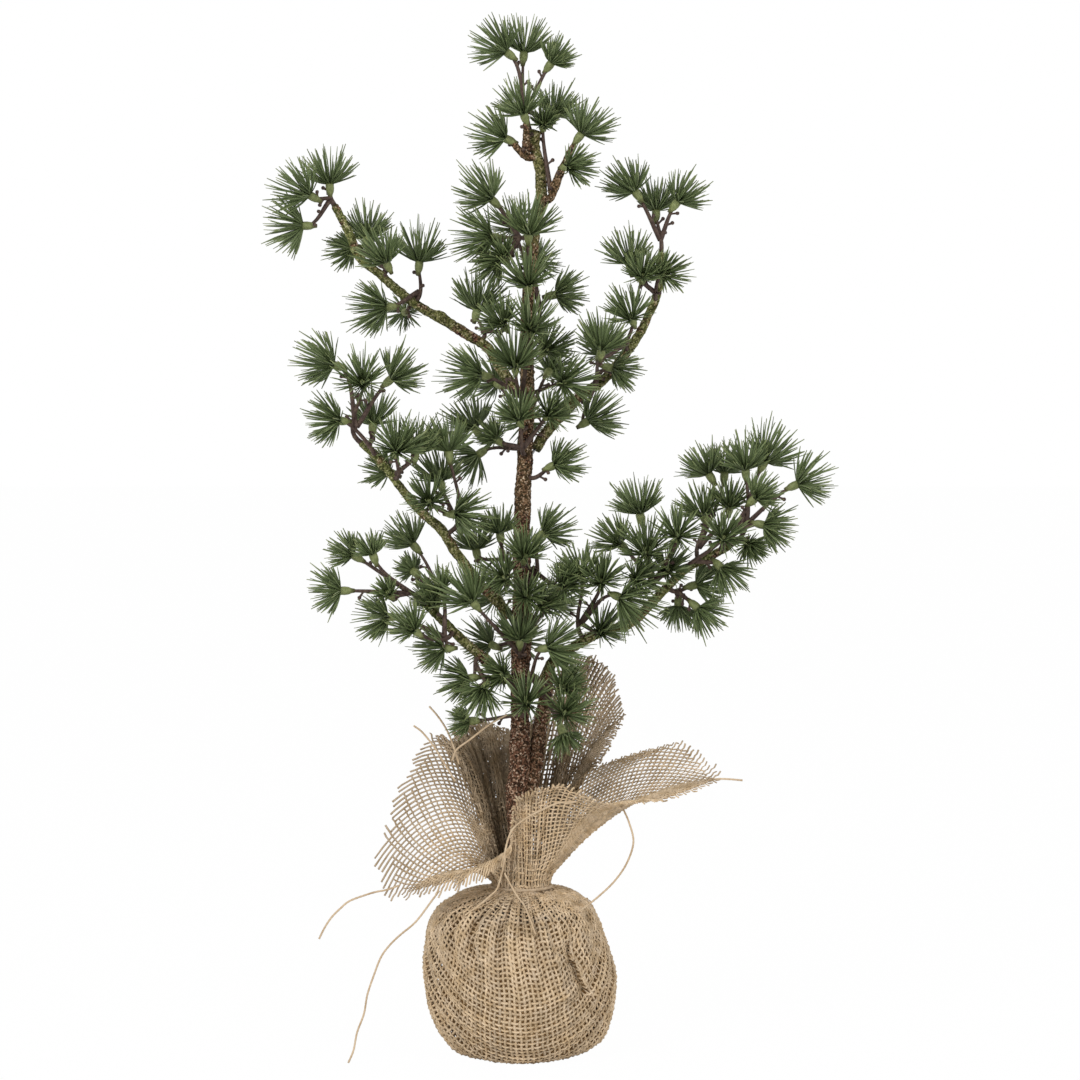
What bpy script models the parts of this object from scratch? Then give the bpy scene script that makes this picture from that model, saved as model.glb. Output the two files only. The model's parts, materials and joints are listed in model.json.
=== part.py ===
"""Artificial tabletop pine: a bark trunk on a steel rod with five bendable branches and moulded sprays
of needles, standing in a cement-weighted pot that is wrapped in one square of burlap tied at the neck."""

import math

import bmesh
import bpy
import numpy as np

# Every length below is in millimetres, and MM turns it into metres when a mesh is made.
MM = 0.001
GAP = 0.3

# Pot and cement weight
CUP_FOOT_RADIUS = 36.0
CUP_BELLY_RADIUS = 48.0
CUP_RIM_RADIUS = 39.0
CUP_BELLY_HEIGHT = 36.0
CUP_HEIGHT = 80.0
CUP_WALL = 2.0
CEMENT_BELOW_RIM = 4.0
POT_SIDES = 24

# Burlap wrap
CLOTH_THICKNESS = 1.8
CLOTH_AROUND = 36
BAG_FOOT_EASE = 3.0
BAG_FOLDS = 5
BAG_FOLD_DEPTH = 1.0
NECK_RADIUS = 16.0
NECK_RISE = 15.0
NECK_MARGIN = 1.4
FLARE_ROWS = 5
FLARE_CONTROL_OUT_SHARE = 0.4
FLARE_CONTROL_RISE = 20.0
FLARE_CONTROL_RISE_SHARE = 0.6

# Levels of the bag beside the pot: share of the pot's height, distance out from the pot, lean to the right
BAG_SIDE = [(0.02, 6.5, 2), (0.12, 9.3, 1), (0.29, 9.8, 0), (0.5, 8.7, 0), (0.74, 10.3, -3), (0.92, 10.5, -5)]

# Levels of the bag above the pot: distance out from the pot's rim, height above the rim, lean to the right
BAG_SHOULDER = [(6.5, 4, -4.5), (-2, 9.5, -3), (-12, 12, -1)]

# Free edge of the flare: turn from +X in degrees, distance from the axis, height above the tie
FLARE_EDGE = [
    (0, 93, 83), (16, 44, 66), (36, 68, 115), (48, 60, 119), (66, 40, 93), (90, 34, 83),
    (118, 46, 89), (150, 44, 89), (164, 40, 80), (174, 52, 88), (186, 72, 62), (196, 90, 27),
    (206, 88, 1), (226, 52, 6), (246, 26, 19), (256, 24, 27), (268, 30, 55), (284, 36, 63),
    (302, 46, 67), (318, 66, 53), (332, 92, 55), (345, 118, 69),
]

# Neck tie
TWINE_RADIUS = 1.1
TWINE_SIDES = 8

# Trunk, rod and branches
TRUNK_BASE_RADIUS = 6.6
TRUNK_TIP_RADIUS = 2.8
TRUNK_SIDES = 10
TRUNK_RINGS = 20
ROD_RADIUS = 1.6
ROD_FOOT_ABOVE_CUP_FLOOR = 8.0
ROD_RINGS = 17
BRANCH_ROOT_RADIUS = 3.2
BRANCH_TIP_RADIUS = 2.2
BRANCH_SIDES = 7
KNUCKLE_RINGS = 5
BRANCH_RINGS = 11
WIRE_RADIUS = 0.8
WIRE_RINGS = 9
KNUCKLE_RADIUS = 4.0
KNUCKLE_PROUD = 2.8
CURVE_STEPS = 12

# Moulded sprays: twigs, collars and the outer shape of each fan of needles
TWIG_RADIUS = 1.1
SIDE_TWIG_RADIUS = 0.95
TWIG_SIDES = 4
TWIG_RINGS = 3
TWIG_STUB = 2.0
FORK_AT = 0.45
COLLAR_RADIUS = 2.2
COLLAR_LENGTH = 4.0
TUFT_REACH = 19.0
TUFT_SIDES = 5
SKIRT_ANGLE = 62.0
SKIRT_SHARE = 0.85
SHOULDER_ANGLE = 34.0
CROWN_SHARE = 0.2

# Loose jute threads
THREAD_DIAMETER = 1.2
THREAD_SPACING = 3.6

# Middle line of the trunk from its foot to its tip; every height of the tree is above that foot
TRUNK_RISE = [
    (0, 0, 0), (0, 0, 30), (-2.5, -1, 70), (-1, -2, 92), (-0.5, -2, 126), (0.5, 0, 184), (0.5, 2, 230),
    (2.5, 3, 271), (3.5, 3, 311), (4, 2, 357), (7, 0, 392), (11.5, -1, 415), (11, -1, 432), (8.5, 0, 444),
    (5, 0, 457),
]

# Each branch: height on the trunk, direction of its root, then the points of its middle line
BRANCHES = {
    "upper_left": (305, (-0.75, 0.66), [
        (-11, 14, 318), (-19, 16, 331), (-31, 16, 339), (-44, 16, 347), (-57, 17, 354), (-72, 18, 365),
        (-82, 19, 374), (-94, 20, 384), (-99, 20, 396), (-105, 20, 408), (-109, 20, 415)]),
    "upper_right": (273, (0.8, 0.6), [
        (16, 12, 284), (28, 15, 297), (38, 16, 306), (49, 18, 314), (66, 20, 335), (75, 20, 352),
        (80, 20, 366), (81.5, 20, 388)]),
    "mid_left": (177, (-0.92, -0.39), [
        (-15, -7, 187), (-24, -9, 196), (-37, -12, 214), (-46, -15, 228), (-57, -18, 238), (-70, -22, 254),
        (-82, -25, 270), (-92, -28, 279)]),
    "lower_left": (139, (-0.95, -0.3), [
        (-15, -6, 146), (-22, -8, 153), (-34, -12, 164), (-41, -14, 171), (-55, -18, 185)]),
    "lower_right": (130, (0.97, 0.26), [
        (14, 4, 140), (20, 4, 151), (42, 2, 165), (52, 0, 169), (65, -4, 174), (93, -12, 203), (105, -14, 210),
        (121, -16, 219)]),
}
TRUNK = "trunk"

# Each spray: what carries it, how far along, then its tufts as (needle root, way it points, relative size)
SPRAYS = {
    "crown_spray": (TRUNK, 1.0, [
        ((1.7, 6, 500), (0.1, 0.1, 1), 0.95), ((-7.5, -4, 500), (-0.8, -0.2, 0.6), 1.05),
        ((17, 0, 494), (0.6, -0.3, 0.8), 0.75), ((19, 14, 465), (0.3, 0.4, 0.9), 0.9)]),
    "top_left_spray": (TRUNK, 0.965, [
        ((-8, -6, 451), (-1, -0.2, 0.4), 1.0), ((2, -17, 464), (-0.3, -0.4, 0.9), 1.0)]),
    "top_right_spray": (TRUNK, 0.91, [
        ((27, -14, 435), (0.7, -0.6, 0.1), 0.8), ((34, -8, 453), (0.6, 0, 0.8), 1.05)]),
    "neck_left_spray": (TRUNK, 0.86, [
        ((-16, -10, 395), (-1, -0.3, 0.05), 1.1), ((-16, -4, 416), (-0.7, -0.2, 0.7), 1.1),
        ((-12, -6, 382), (-0.8, -0.2, -0.5), 0.8)]),
    "neck_front_spray": (TRUNK, 0.79, [
        ((4, -18, 367), (-0.1, -0.5, 0.85), 1.1), ((4.6, -16, 396), (0.1, -0.4, 0.9), 1.1)]),
    "neck_right_spray": (TRUNK, 0.775, [
        ((19, 4, 362), (1, -0.1, 0.2), 0.9), ((8, 24, 380), (0.2, 0.95, 0.2), 0.9),
        ((-4, 20, 400), (-0.2, 0.9, 0.5), 1.0)]),
    "upper_left_tip_spray": ("upper_left", 1.0, [
        ((-111, 20, 425), (-0.05, 0.1, 1), 1.05), ((-121, 10, 419), (-0.85, -0.3, 0.5), 1.15),
        ((-125, 14, 402), (-1, 0.1, 0), 1.1)]),
    "upper_left_crest_spray": ("upper_left", 0.68, [
        ((-90, 28, 394), (0, 0.5, 0.9), 1.0), ((-77, -4, 380), (-0.4, -0.4, 0.85), 1.05),
        ((-98, 32, 389), (-0.9, 0.4, -0.2), 0.75)]),
    "upper_left_fork_spray": ("upper_left", 0.52, [
        ((-59, 14, 380), (0.1, 0.1, 1), 1.05), ((-77, 8, 355), (-1, -0.3, -0.1), 1.1),
        ((-68, 34, 352), (-0.2, 0.95, 0), 0.7)]),
    "upper_left_inner_spray": ("upper_left", 0.24, [((-26, 20, 352), (0.2, 0.3, 0.95), 1.2)]),
    "upper_right_tip_spray": ("upper_right", 1.0, [
        ((78.6, 26, 410), (0, 0.2, 1), 0.9), ((66.5, 16, 421), (-0.6, -0.1, 0.8), 1.0),
        ((90, 16, 415), (0.6, -0.1, 0.75), 0.95)]),
    "upper_right_mid_spray": ("upper_right", 0.8, [
        ((81.5, 2, 374), (0.5, -0.8, 0.2), 0.8), ((63, 10, 379), (-0.2, -0.1, 1), 1.0),
        ((70, 0, 372), (0.1, -0.7, 0.7), 0.85)]),
    "upper_right_front_spray": ("upper_right", 0.56, [
        ((64, 2, 348), (-0.3, -0.6, 0.75), 0.95), ((46, -14, 330), (0.1, -0.4, 0.9), 1.05)]),
    "upper_right_low_spray": ("upper_right", 0.36, [
        ((52, 6, 320), (0.9, -0.2, -0.2), 0.8), ((38, 2, 289), (0.8, -0.2, 0.5), 1.05),
        ((46, 40, 326), (0.2, 0.8, 0.5), 1.0)]),
    "centre_front_spray": (TRUNK, 0.655, [
        ((-3, -24, 321), (0, -0.6, 0.8), 1.2), ((-22, -16, 316), (-1, -0.4, 0.1), 1.15),
        ((24, -18, 312), (0.5, -0.8, 0.1), 1.1), ((6, -27, 342), (0.15, -0.75, 0.65), 1.1)]),
    "centre_low_spray": (TRUNK, 0.59, [
        ((-1, -20, 291), (-0.2, -0.6, 0.7), 0.9), ((-26, 8, 284), (-0.5, 0.2, 0.8), 1.0),
        ((-24, 14, 270), (-0.7, 0.1, -0.5), 0.9)]),
    "centre_right_spray": (TRUNK, 0.56, [
        ((18.5, -8, 264), (0.9, -0.3, 0.4), 0.9)]),
    "mid_left_tip_spray": ("mid_left", 1.0, [
        ((-89, -44, 312), (-0.1, -0.8, 0.5), 1.0), ((-105, -30, 322), (-0.9, -0.2, 0.3), 1.1),
        ((-74, -34, 314), (0.7, -0.2, 0.6), 1.0)]),
    "mid_left_outer_spray": ("mid_left", 0.92, [
        ((-102, -40, 291), (-0.8, -0.5, 0.1), 0.95), ((-85, -12, 287), (0, 0.4, 0.9), 1.0)]),
    "mid_left_front_spray": ("mid_left", 0.78, [
        ((-70, -44, 274), (0.2, -0.7, 0.6), 1.1), ((-75, -8, 260), (-0.9, 0.3, 0.35), 0.75)]),
    "mid_left_inner_spray": ("mid_left", 0.45, [
        ((-41, -24, 272), (-0.1, 0, 1), 1.0), ((-46, -10, 254), (-0.2, -0.1, 0.95), 1.0),
        ((-38, -24, 237), (0.9, -0.4, 0), 1.0), ((-52, -28, 244), (-0.1, -0.85, 0.5), 0.9)]),
    "low_left_spray": (TRUNK, 0.45, [
        ((-12, -4, 224), (-0.1, -0.2, 0.95), 0.75), ((-26, 12, 213), (-0.2, 0.2, 0.95), 0.85)]),
    "low_right_spray": (TRUNK, 0.43, [
        ((12, -2, 224), (0.8, 0.1, 0.5), 0.9), ((2, -20, 212), (0.1, -0.6, 0.8), 0.9),
        ((3, -21, 190), (0, -0.9, 0.3), 0.85)]),
    "low_front_spray": (TRUNK, 0.335, [
        ((-0.6, -16, 164), (0, -0.4, 0.9), 1.0), ((-27, -32, 187), (-0.6, -0.3, 0.75), 1.25)]),
    "lower_left_tip_spray": ("lower_left", 1.0, [
        ((-84, -32, 214), (-0.3, -0.2, 0.9), 0.65), ((-102, -22, 193), (-1, -0.1, 0), 0.9),
        ((-95, -22, 213), (-0.8, -0.1, 0.5), 0.75), ((-75, -32, 192), (-0.3, -0.6, 0.5), 0.5)]),
    "lower_left_crest_spray": ("lower_left", 0.88, [
        ((-62, 4, 217), (-0.7, 0.1, 0.8), 0.95), ((-62, 2, 202), (-0.5, 0.6, 0.4), 0.55)]),
    "lower_left_mid_spray": ("lower_left", 0.66, [
        ((-60, -42, 172), (-0.6, -0.5, 0.6), 0.85), ((-75, -24, 178), (-0.9, -0.3, 0), 0.9),
        ((-43, -24, 160), (-0.9, -0.3, 0), 0.9)]),
    "lower_left_inner_spray": ("lower_left", 0.34, [
        ((-29, -16, 142), (-0.9, -0.2, -0.1), 0.9), ((-21, -26, 137), (-0.3, -0.6, -0.5), 0.9)]),
    "bottom_front_spray": (TRUNK, 0.26, [
        ((3, -20, 128), (0, -0.8, 0.5), 1.0), ((-29, -6, 116), (-0.9, -0.2, 0), 0.6)]),
    "bottom_right_spray": (TRUNK, 0.305, [
        ((14.5, -22, 160), (0.9, -0.3, 0.2), 1.15), ((25, -20, 122), (0.3, -0.8, 0.4), 1.0),
        ((24, -10, 110), (0.3, -0.3, -0.8), 0.65)]),
    "lower_right_inner_spray": ("lower_right", 0.3, [
        ((35, -16, 200), (-0.2, -0.6, 0.75), 1.0), ((56, -28, 190), (0.8, -0.3, -0.3), 1.25),
        ((46, -26, 198), (0, -0.8, 0.6), 0.95)]),
    "lower_right_mid_spray": ("lower_right", 0.67, [
        ((72, -24, 214), (-0.1, -0.7, 0.7), 1.1), ((69, -4, 235), (-0.2, 0, 1), 1.05),
        ((89, -36, 225), (0, -0.8, 0.5), 0.95)]),
    "lower_right_crest_spray": ("lower_right", 0.86, [
        ((105, -10, 235), (-0.4, -0.3, 0.85), 0.9), ((109, -2, 258), (-0.5, 0.1, 0.8), 0.9),
        ((118, 8, 258), (0.1, 0.3, 0.9), 0.9)]),
    "lower_right_front_spray": ("lower_right", 0.82, [
        ((115, -36, 224), (0.1, -0.8, 0.4), 0.9), ((114, -24, 207), (0.6, -0.3, -0.6), 0.9)]),
    "lower_right_outer_spray": ("lower_right", 0.96, [
        ((138, -24, 231), (0.95, -0.3, -0.2), 0.9), ((133, -30, 246), (0.6, -0.4, 0.6), 0.8)]),
    "lower_right_tip_spray": ("lower_right", 1.0, [
        ((129, -14, 261), (-0.1, -0.2, 1), 1.0), ((140, -4, 265), (0.5, 0.1, 0.85), 1.15),
        ((158, -10, 253), (0.9, 0, 0.4), 1.05)]),
    "lower_right_under_spray": ("lower_right", 0.7, [
        ((100, -8, 195), (0.9, 0.1, 0.2), 0.95), ((101, -14, 183), (0.7, -0.2, -0.6), 0.9),
        ((91, -4, 184), (0, 0, -1), 0.7)]),
    "back_upper_spray": (TRUNK, 0.62, [
        ((2, 44, 287), (0, 1, 0.1), 1.0), ((-14, 34, 310), (-0.5, 0.8, 0.4), 1.0),
        ((16, 36, 317), (0.4, 0.8, 0.5), 1.0)]),
    "back_low_spray": (TRUNK, 0.36, [
        ((0, 42, 157), (0, 1, 0), 1.0), ((-14, 36, 184), (-0.5, 0.8, 0.3), 1.0),
        ((18, 36, 180), (0.5, 0.8, 0.4), 1.0), ((-17, 16, 158), (-0.8, 0.5, 0.3), 0.9)]),
}

# Each loose thread: the points it runs through, from where it leaves the cloth to its free end, with heights
# above the tie
THREADS = {
    "left_long_thread": [
        (-46.6, -40.0, 3.9), (-51, -41, -2), (-60, -40, -14), (-69, -38, -22), (-75, -37, -28), (-80, -36, -35),
        (-84, -36, -45), (-88, -36, -57), (-90, -36, -68), (-94, -36, -79), (-96, -37, -89), (-99, -38, -96.2)],
    "left_short_thread": [
        (-70.2, -35.6, 6), (-77, -38, 4), (-83, -39, 3), (-90, -40, 1), (-98, -41, -2), (-103, -42, -6),
        (-108, -43, -11), (-112, -44, -17), (-115, -45, -23)],
    "right_thread": [
        (58.8, -32.4, 49.5), (62, -33, 42), (64.5, -33, 31), (61, -32, 19), (54, -30, 8), (45, -29, -1),
        (37, -28.5, -7.5), (32.4, -27.9, -10.6)],
    "front_thread": [
        (31.9, -37, 54.7), (21, -38, 54), (12, -37.5, 50), (3, -36, 45), (-4, -33, 39), (-7, -31, 33),
        (-9, -31, 25), (-10, -30, 16), (-12, -29, 8), (-14, -28.5, 2.5), (-18, -31, -1), (-24, -35, -5.5),
        (-32.1, -37.2, -10.9)],
    "front_thread_tail": [
        (-9.4, -29.8, 12.5), (-6, -31, 6), (-2, -33, -0.5), (2, -38.2, -4.9), (4.8, -45.5, -10.2),
        (8.5, -50, -19.6)],
}

# Finishes as colour, roughness and metallic
BURLAP = ((0.52, 0.38, 0.24), 0.95, 0.0)
JUTE = ((0.58, 0.44, 0.28), 0.95, 0.0)
POT_PLASTIC = ((0.08, 0.06, 0.05), 0.5, 0.0)
CEMENT = ((0.5, 0.49, 0.46), 0.9, 0.0)
STEEL = ((0.55, 0.55, 0.56), 0.4, 1.0)
BARK = ((0.16, 0.09, 0.06), 0.95, 0.0)
NEEDLES = ((0.09, 0.15, 0.06), 0.7, 0.0)


def unit(vector):
    """The same direction with length one."""
    vector = np.array(vector, float)
    return vector / np.linalg.norm(vector)


def smooth_path(points, count):
    """Points spaced evenly along a Catmull-Rom curve through the given points."""
    knots = np.array(points, float)
    padded = np.vstack([2 * knots[0] - knots[1], knots, 2 * knots[-1] - knots[-2]])
    step = np.linspace(0, 1, CURVE_STEPS, endpoint=False)[:, None]
    stretches = []
    for a, b, c, d in zip(padded[:-3], padded[1:-2], padded[2:-1], padded[3:]):
        square = 2 * a - 5 * b + 4 * c - d
        cube = 3 * b - a - 3 * c + d
        stretches.append(0.5 * (2 * b + (c - a) * step + square * step ** 2 + cube * step ** 3))
    dense = np.vstack(stretches + [knots[-1:]])
    along = np.concatenate([[0], np.cumsum(np.linalg.norm(np.diff(dense, axis=0), axis=1))])
    even = np.linspace(0, along[-1], count)
    return np.column_stack([np.interp(even, along, dense[:, axis]) for axis in range(3)])


def directions(path):
    """The unit direction of travel at each point of a path."""
    slopes = np.gradient(path, axis=0)
    return slopes / np.linalg.norm(slopes, axis=1)[:, None]


def tube_rings(path, radii, sides):
    """Round rings square to a path, carried along it without twist."""
    forward = directions(path)
    across = np.cross(forward[0], (0, 1, 0) if abs(forward[0][1]) < 0.8 else (1, 0, 0))
    angles = np.arange(sides) * 2 * math.pi / sides
    rings = []
    for point, ahead, radius in zip(path, forward, radii):
        across = unit(across - ahead * np.dot(across, ahead))
        upward = np.cross(ahead, across)
        circle = np.outer(np.cos(angles), across) + np.outer(np.sin(angles), upward)
        rings.append(point + radius * circle)
    return rings


def skin(rings):
    """A closed mesh that joins each ring to the next and caps the first and the last."""
    sides = len(rings[0])
    grid = bmesh.new()
    loops = [[grid.verts.new(point * MM) for point in ring] for ring in rings]
    for low, high in zip(loops[:-1], loops[1:]):
        for i in range(sides):
            j = (i + 1) % sides
            grid.faces.new((low[i], low[j], high[j], high[i]))
    grid.faces.new(loops[0])
    grid.faces.new(loops[-1])
    bmesh.ops.recalc_face_normals(grid, faces=grid.faces)
    mesh = bpy.data.meshes.new("solid")
    grid.to_mesh(mesh)
    grid.free()
    return mesh


def turned_rings(profile, sides):
    """Level rings for a profile of (radius, height) turned about the upright axis."""
    angles = np.arange(sides) * 2 * math.pi / sides
    return [np.column_stack([radius * np.cos(angles), radius * np.sin(angles), np.full(sides, height)])
            for radius, height in profile]


def finish(item, look):
    """Gives an object a material of its own."""
    colour, roughness, metallic = look
    material = bpy.data.materials.new(item.name + "_finish")
    material.use_nodes = True
    shader = material.node_tree.nodes["Principled BSDF"]
    shader.inputs["Base Color"].default_value = (*colour, 1)
    shader.inputs["Roughness"].default_value = roughness
    shader.inputs["Metallic"].default_value = metallic
    item.data.materials.clear()
    item.data.materials.append(material)


def place(name, data, look, parent=None):
    """Adds a named object; under a parent its shape stays where it was modelled."""
    item = bpy.data.objects.new(name, data)
    bpy.context.scene.collection.objects.link(item)
    finish(item, look)
    if parent:
        item.parent = parent
        item.location = -parent.location
    return item


def cup_floor():
    """Height of the pot's underside, which stands on the cloth."""
    return CLOTH_THICKNESS + GAP


def rim_height():
    """Height of the pot's rim."""
    return cup_floor() + CUP_HEIGHT


def cement_top():
    """Height of the cement's upper face inside the pot."""
    return rim_height() - CEMENT_BELOW_RIM


def trunk_foot():
    """The point on the cement where the trunk stands, from which the whole tree is measured."""
    return np.array((0, 0, cement_top() + GAP))


def neck_height():
    """Height of the tie round the gathered cloth."""
    return rim_height() + NECK_RISE


def cup_radius(rise):
    """Outer radius of the round-bellied pot at a height above its underside."""
    return np.interp(rise, (0, CUP_BELLY_HEIGHT, CUP_HEIGHT),
                     (CUP_FOOT_RADIUS, CUP_BELLY_RADIUS, CUP_RIM_RADIUS))


def make_cup():
    """The open plastic pot with a flat floor and a bellied wall."""
    outer = [(cup_radius(rise), cup_floor() + rise) for rise in (0, CUP_BELLY_HEIGHT, CUP_HEIGHT)]
    inner = [(cup_radius(rise) - CUP_WALL, cup_floor() + rise)
             for rise in (CUP_HEIGHT, CUP_BELLY_HEIGHT, CUP_WALL)]
    place("base_cup", skin(turned_rings(outer + inner, POT_SIDES)), POT_PLASTIC)


def make_cement():
    """The cement plug that fills the pot, with a blind hole for the rod."""
    levels = (CUP_WALL + GAP, CUP_BELLY_HEIGHT, CUP_HEIGHT - CEMENT_BELOW_RIM)
    outer = [(cup_radius(rise) - CUP_WALL - 2 * GAP, cup_floor() + rise) for rise in levels]
    hole = ROD_RADIUS + GAP
    bore = [(hole, cement_top()), (hole, rod_foot() - GAP)]
    place("cement_weight", skin(turned_rings(outer + bore, POT_SIDES)), CEMENT)


def rod_foot():
    """Height of the lower end of the trunk's rod, inside the cement."""
    return cup_floor() + CUP_WALL + GAP + ROD_FOOT_ABOVE_CUP_FLOOR


def trunk_radius(share):
    """Radius of the trunk at a share of its length."""
    return TRUNK_BASE_RADIUS + (TRUNK_TIP_RADIUS - TRUNK_BASE_RADIUS) * share


def trunk_path():
    """The trunk's middle line from just above the cement to its tip."""
    return smooth_path(np.array(TRUNK_RISE, float) + trunk_foot(), TRUNK_RINGS)


def make_trunk_rod():
    """The steel rod from inside the cement up the bore of the trunk."""
    buried = [(0, 0, rod_foot()), (0, 0, (rod_foot() + cement_top()) / 2)]
    path = np.vstack([buried, trunk_path()[:ROD_RINGS]])
    rings = tube_rings(path, np.full(len(path), ROD_RADIUS), TWIG_SIDES)
    place("trunk_rod", skin(rings), STEEL)


def make_knuckle_cutter(name, centre):
    """A hidden ball that presses the seat of one branch knuckle into the trunk."""
    ball = bmesh.new()
    bmesh.ops.create_uvsphere(ball, u_segments=16, v_segments=10, radius=(KNUCKLE_RADIUS + GAP) * MM)
    mesh = bpy.data.meshes.new(name)
    ball.to_mesh(mesh)
    ball.free()
    cutter = bpy.data.objects.new(name, mesh)
    bpy.context.scene.collection.objects.link(cutter)
    cutter.location = centre * MM
    cutter.hide_render = True
    cutter.display_type = "WIRE"
    return cutter


def make_trunk():
    """The bark coat of the trunk: a tapered tube with a blind bore and a seat for each branch."""
    path = trunk_path()
    radii = trunk_radius(np.linspace(0, 1, TRUNK_RINGS))
    outer = tube_rings(path, radii, TRUNK_SIDES)
    bore = tube_rings(path[:ROD_RINGS], np.full(ROD_RINGS, ROD_RADIUS + GAP), TRUNK_SIDES)
    reach = directions(path)[ROD_RINGS - 1] * GAP
    bore.append(bore[-1] + reach)
    trunk = place("trunk_bark", skin(outer[::-1] + bore), BARK)
    for name in BRANCHES:
        cut = trunk.modifiers.new("seat_" + name, "BOOLEAN")
        cut.operation = "DIFFERENCE"
        cut.solver = "EXACT"
        cut.object = make_knuckle_cutter("seat_cutter_" + name, knuckle_centre(name))


def knuckle_centre(name):
    """Middle of a branch's root knuckle, beside the trunk at the branch's height."""
    rise, way, _ = BRANCHES[name]
    height = trunk_foot()[2] + rise
    path = trunk_path()
    shares = np.linspace(0, 1, TRUNK_RINGS)
    share = np.interp(height, path[:, 2], shares)
    middle = np.array([np.interp(height, path[:, 2], path[:, axis]) for axis in range(3)])
    return middle + unit((*way, 0)) * (trunk_radius(share) + KNUCKLE_PROUD)


def branch_path(name):
    """The middle line of a branch from its knuckle to its tip."""
    points = np.array(BRANCHES[name][2], float) + trunk_foot()
    return smooth_path(np.vstack([knuckle_centre(name), points]), BRANCH_RINGS)


def branch_radii():
    """Radius of a branch at each ring, from its root to its tip."""
    return np.linspace(BRANCH_ROOT_RADIUS, BRANCH_TIP_RADIUS, BRANCH_RINGS)


def knuckle_rings(centre, ahead, bore):
    """Rings of the root ball, from the mouth of the bore round to where the branch leaves it."""
    first = math.asin(bore / KNUCKLE_RADIUS)
    last = math.pi - math.asin(BRANCH_ROOT_RADIUS / KNUCKLE_RADIUS)
    turns = np.linspace(first, last, KNUCKLE_RINGS)
    path = centre - np.outer(KNUCKLE_RADIUS * np.cos(turns), ahead)
    return tube_rings(path, KNUCKLE_RADIUS * np.sin(turns), BRANCH_SIDES)


def make_joint(name):
    """The empty on a branch's hinge axis, which carries everything that bends with the branch."""
    joint = bpy.data.objects.new(name + "_joint", None)
    joint.location = knuckle_centre(name) * MM
    bpy.context.scene.collection.objects.link(joint)
    return joint


def make_branch(name, joint):
    """A branch: a bark tube with a root ball, and the bendable wire in its bore."""
    path = branch_path(name)
    ahead = unit(path[1] - path[0])
    bore_radius = WIRE_RADIUS + GAP
    mouth = path[0] - ahead * math.sqrt(KNUCKLE_RADIUS ** 2 - bore_radius ** 2)
    bore_path = np.vstack([mouth, path[:WIRE_RINGS]])
    ball = knuckle_rings(path[0], ahead, bore_radius)
    limb = tube_rings(path, branch_radii(), BRANCH_SIDES)[1:]
    bore = tube_rings(bore_path, np.full(len(bore_path), bore_radius), BRANCH_SIDES)
    bore.append(bore[-1] + directions(bore_path)[-1] * GAP)
    place(name + "_bark", skin(limb[::-1] + ball[:0:-1] + bore), BARK, joint)
    wire_path = np.vstack([path[0], path[:WIRE_RINGS]])
    wire_path[0] = mouth + ahead * GAP
    wire = tube_rings(wire_path, np.full(len(wire_path), WIRE_RADIUS), TWIG_SIDES)
    place(name + "_wire", skin(wire), STEEL, joint)


def carrier_foot(carrier, share, toward):
    """Where a twig stands on its carrier, and the way it leaves the bark."""
    if carrier == TRUNK:
        path = trunk_path()
        radii = trunk_radius(np.linspace(0, 1, TRUNK_RINGS))
    else:
        path = branch_path(carrier)
        radii = branch_radii()
    shares = np.linspace(0, 1, len(path))
    middle = np.array([np.interp(share, shares, path[:, axis]) for axis in range(3)])
    ahead = unit([np.interp(share, shares, directions(path)[:, axis]) for axis in range(3)])
    if share == 1.0:
        return middle + ahead * GAP, ahead
    side = toward - middle
    side = unit(side - ahead * np.dot(side, ahead))
    return middle + side * (np.interp(share, shares, radii) + GAP), side


def twig_path(start, leave, end, arrive):
    """A bend from one point and direction to another, as a cubic curve."""
    pull = np.linalg.norm(end - start)
    t = np.linspace(0, 1, TWIG_RINGS)[:, None]
    return ((2 * t ** 3 - 3 * t ** 2 + 1) * start + (t ** 3 - 2 * t ** 2 + t) * leave * pull
            + (3 * t ** 2 - 2 * t ** 3) * end + (t ** 3 - t ** 2) * arrive * pull)


def tuft_solid(root, axis, size):
    """The outer shape of one fan of needles with its collar: a flared cup with a domed end."""
    reach = TUFT_REACH * size
    skirt = SKIRT_SHARE * reach
    path = [-COLLAR_LENGTH, skirt * math.cos(math.radians(SKIRT_ANGLE)),
            reach * math.cos(math.radians(SHOULDER_ANGLE)), reach]
    radii = [COLLAR_RADIUS, skirt * math.sin(math.radians(SKIRT_ANGLE)),
             reach * math.sin(math.radians(SHOULDER_ANGLE)), reach * CROWN_SHARE]
    return skin(tube_rings(root + np.outer(path, axis), radii, TUFT_SIDES))


def twig_solid(path, radius):
    """A thin moulded twig along a path."""
    return skin(tube_rings(path, np.full(len(path), radius), TWIG_SIDES))


def join_solids(solids):
    """One closed mesh made of overlapping solids."""
    helpers = []
    for solid in solids:
        helper = bpy.data.objects.new("solid", solid)
        bpy.context.scene.collection.objects.link(helper)
        helpers.append(helper)
    for helper in helpers[1:]:
        union = helpers[0].modifiers.new("union", "BOOLEAN")
        union.operation = "UNION"
        union.solver = "EXACT"
        union.object = helper
    evaluated = helpers[0].evaluated_get(bpy.context.evaluated_depsgraph_get())
    mesh = bpy.data.meshes.new_from_object(evaluated)
    for helper in helpers:
        bpy.data.objects.remove(helper)
    return mesh


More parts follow.
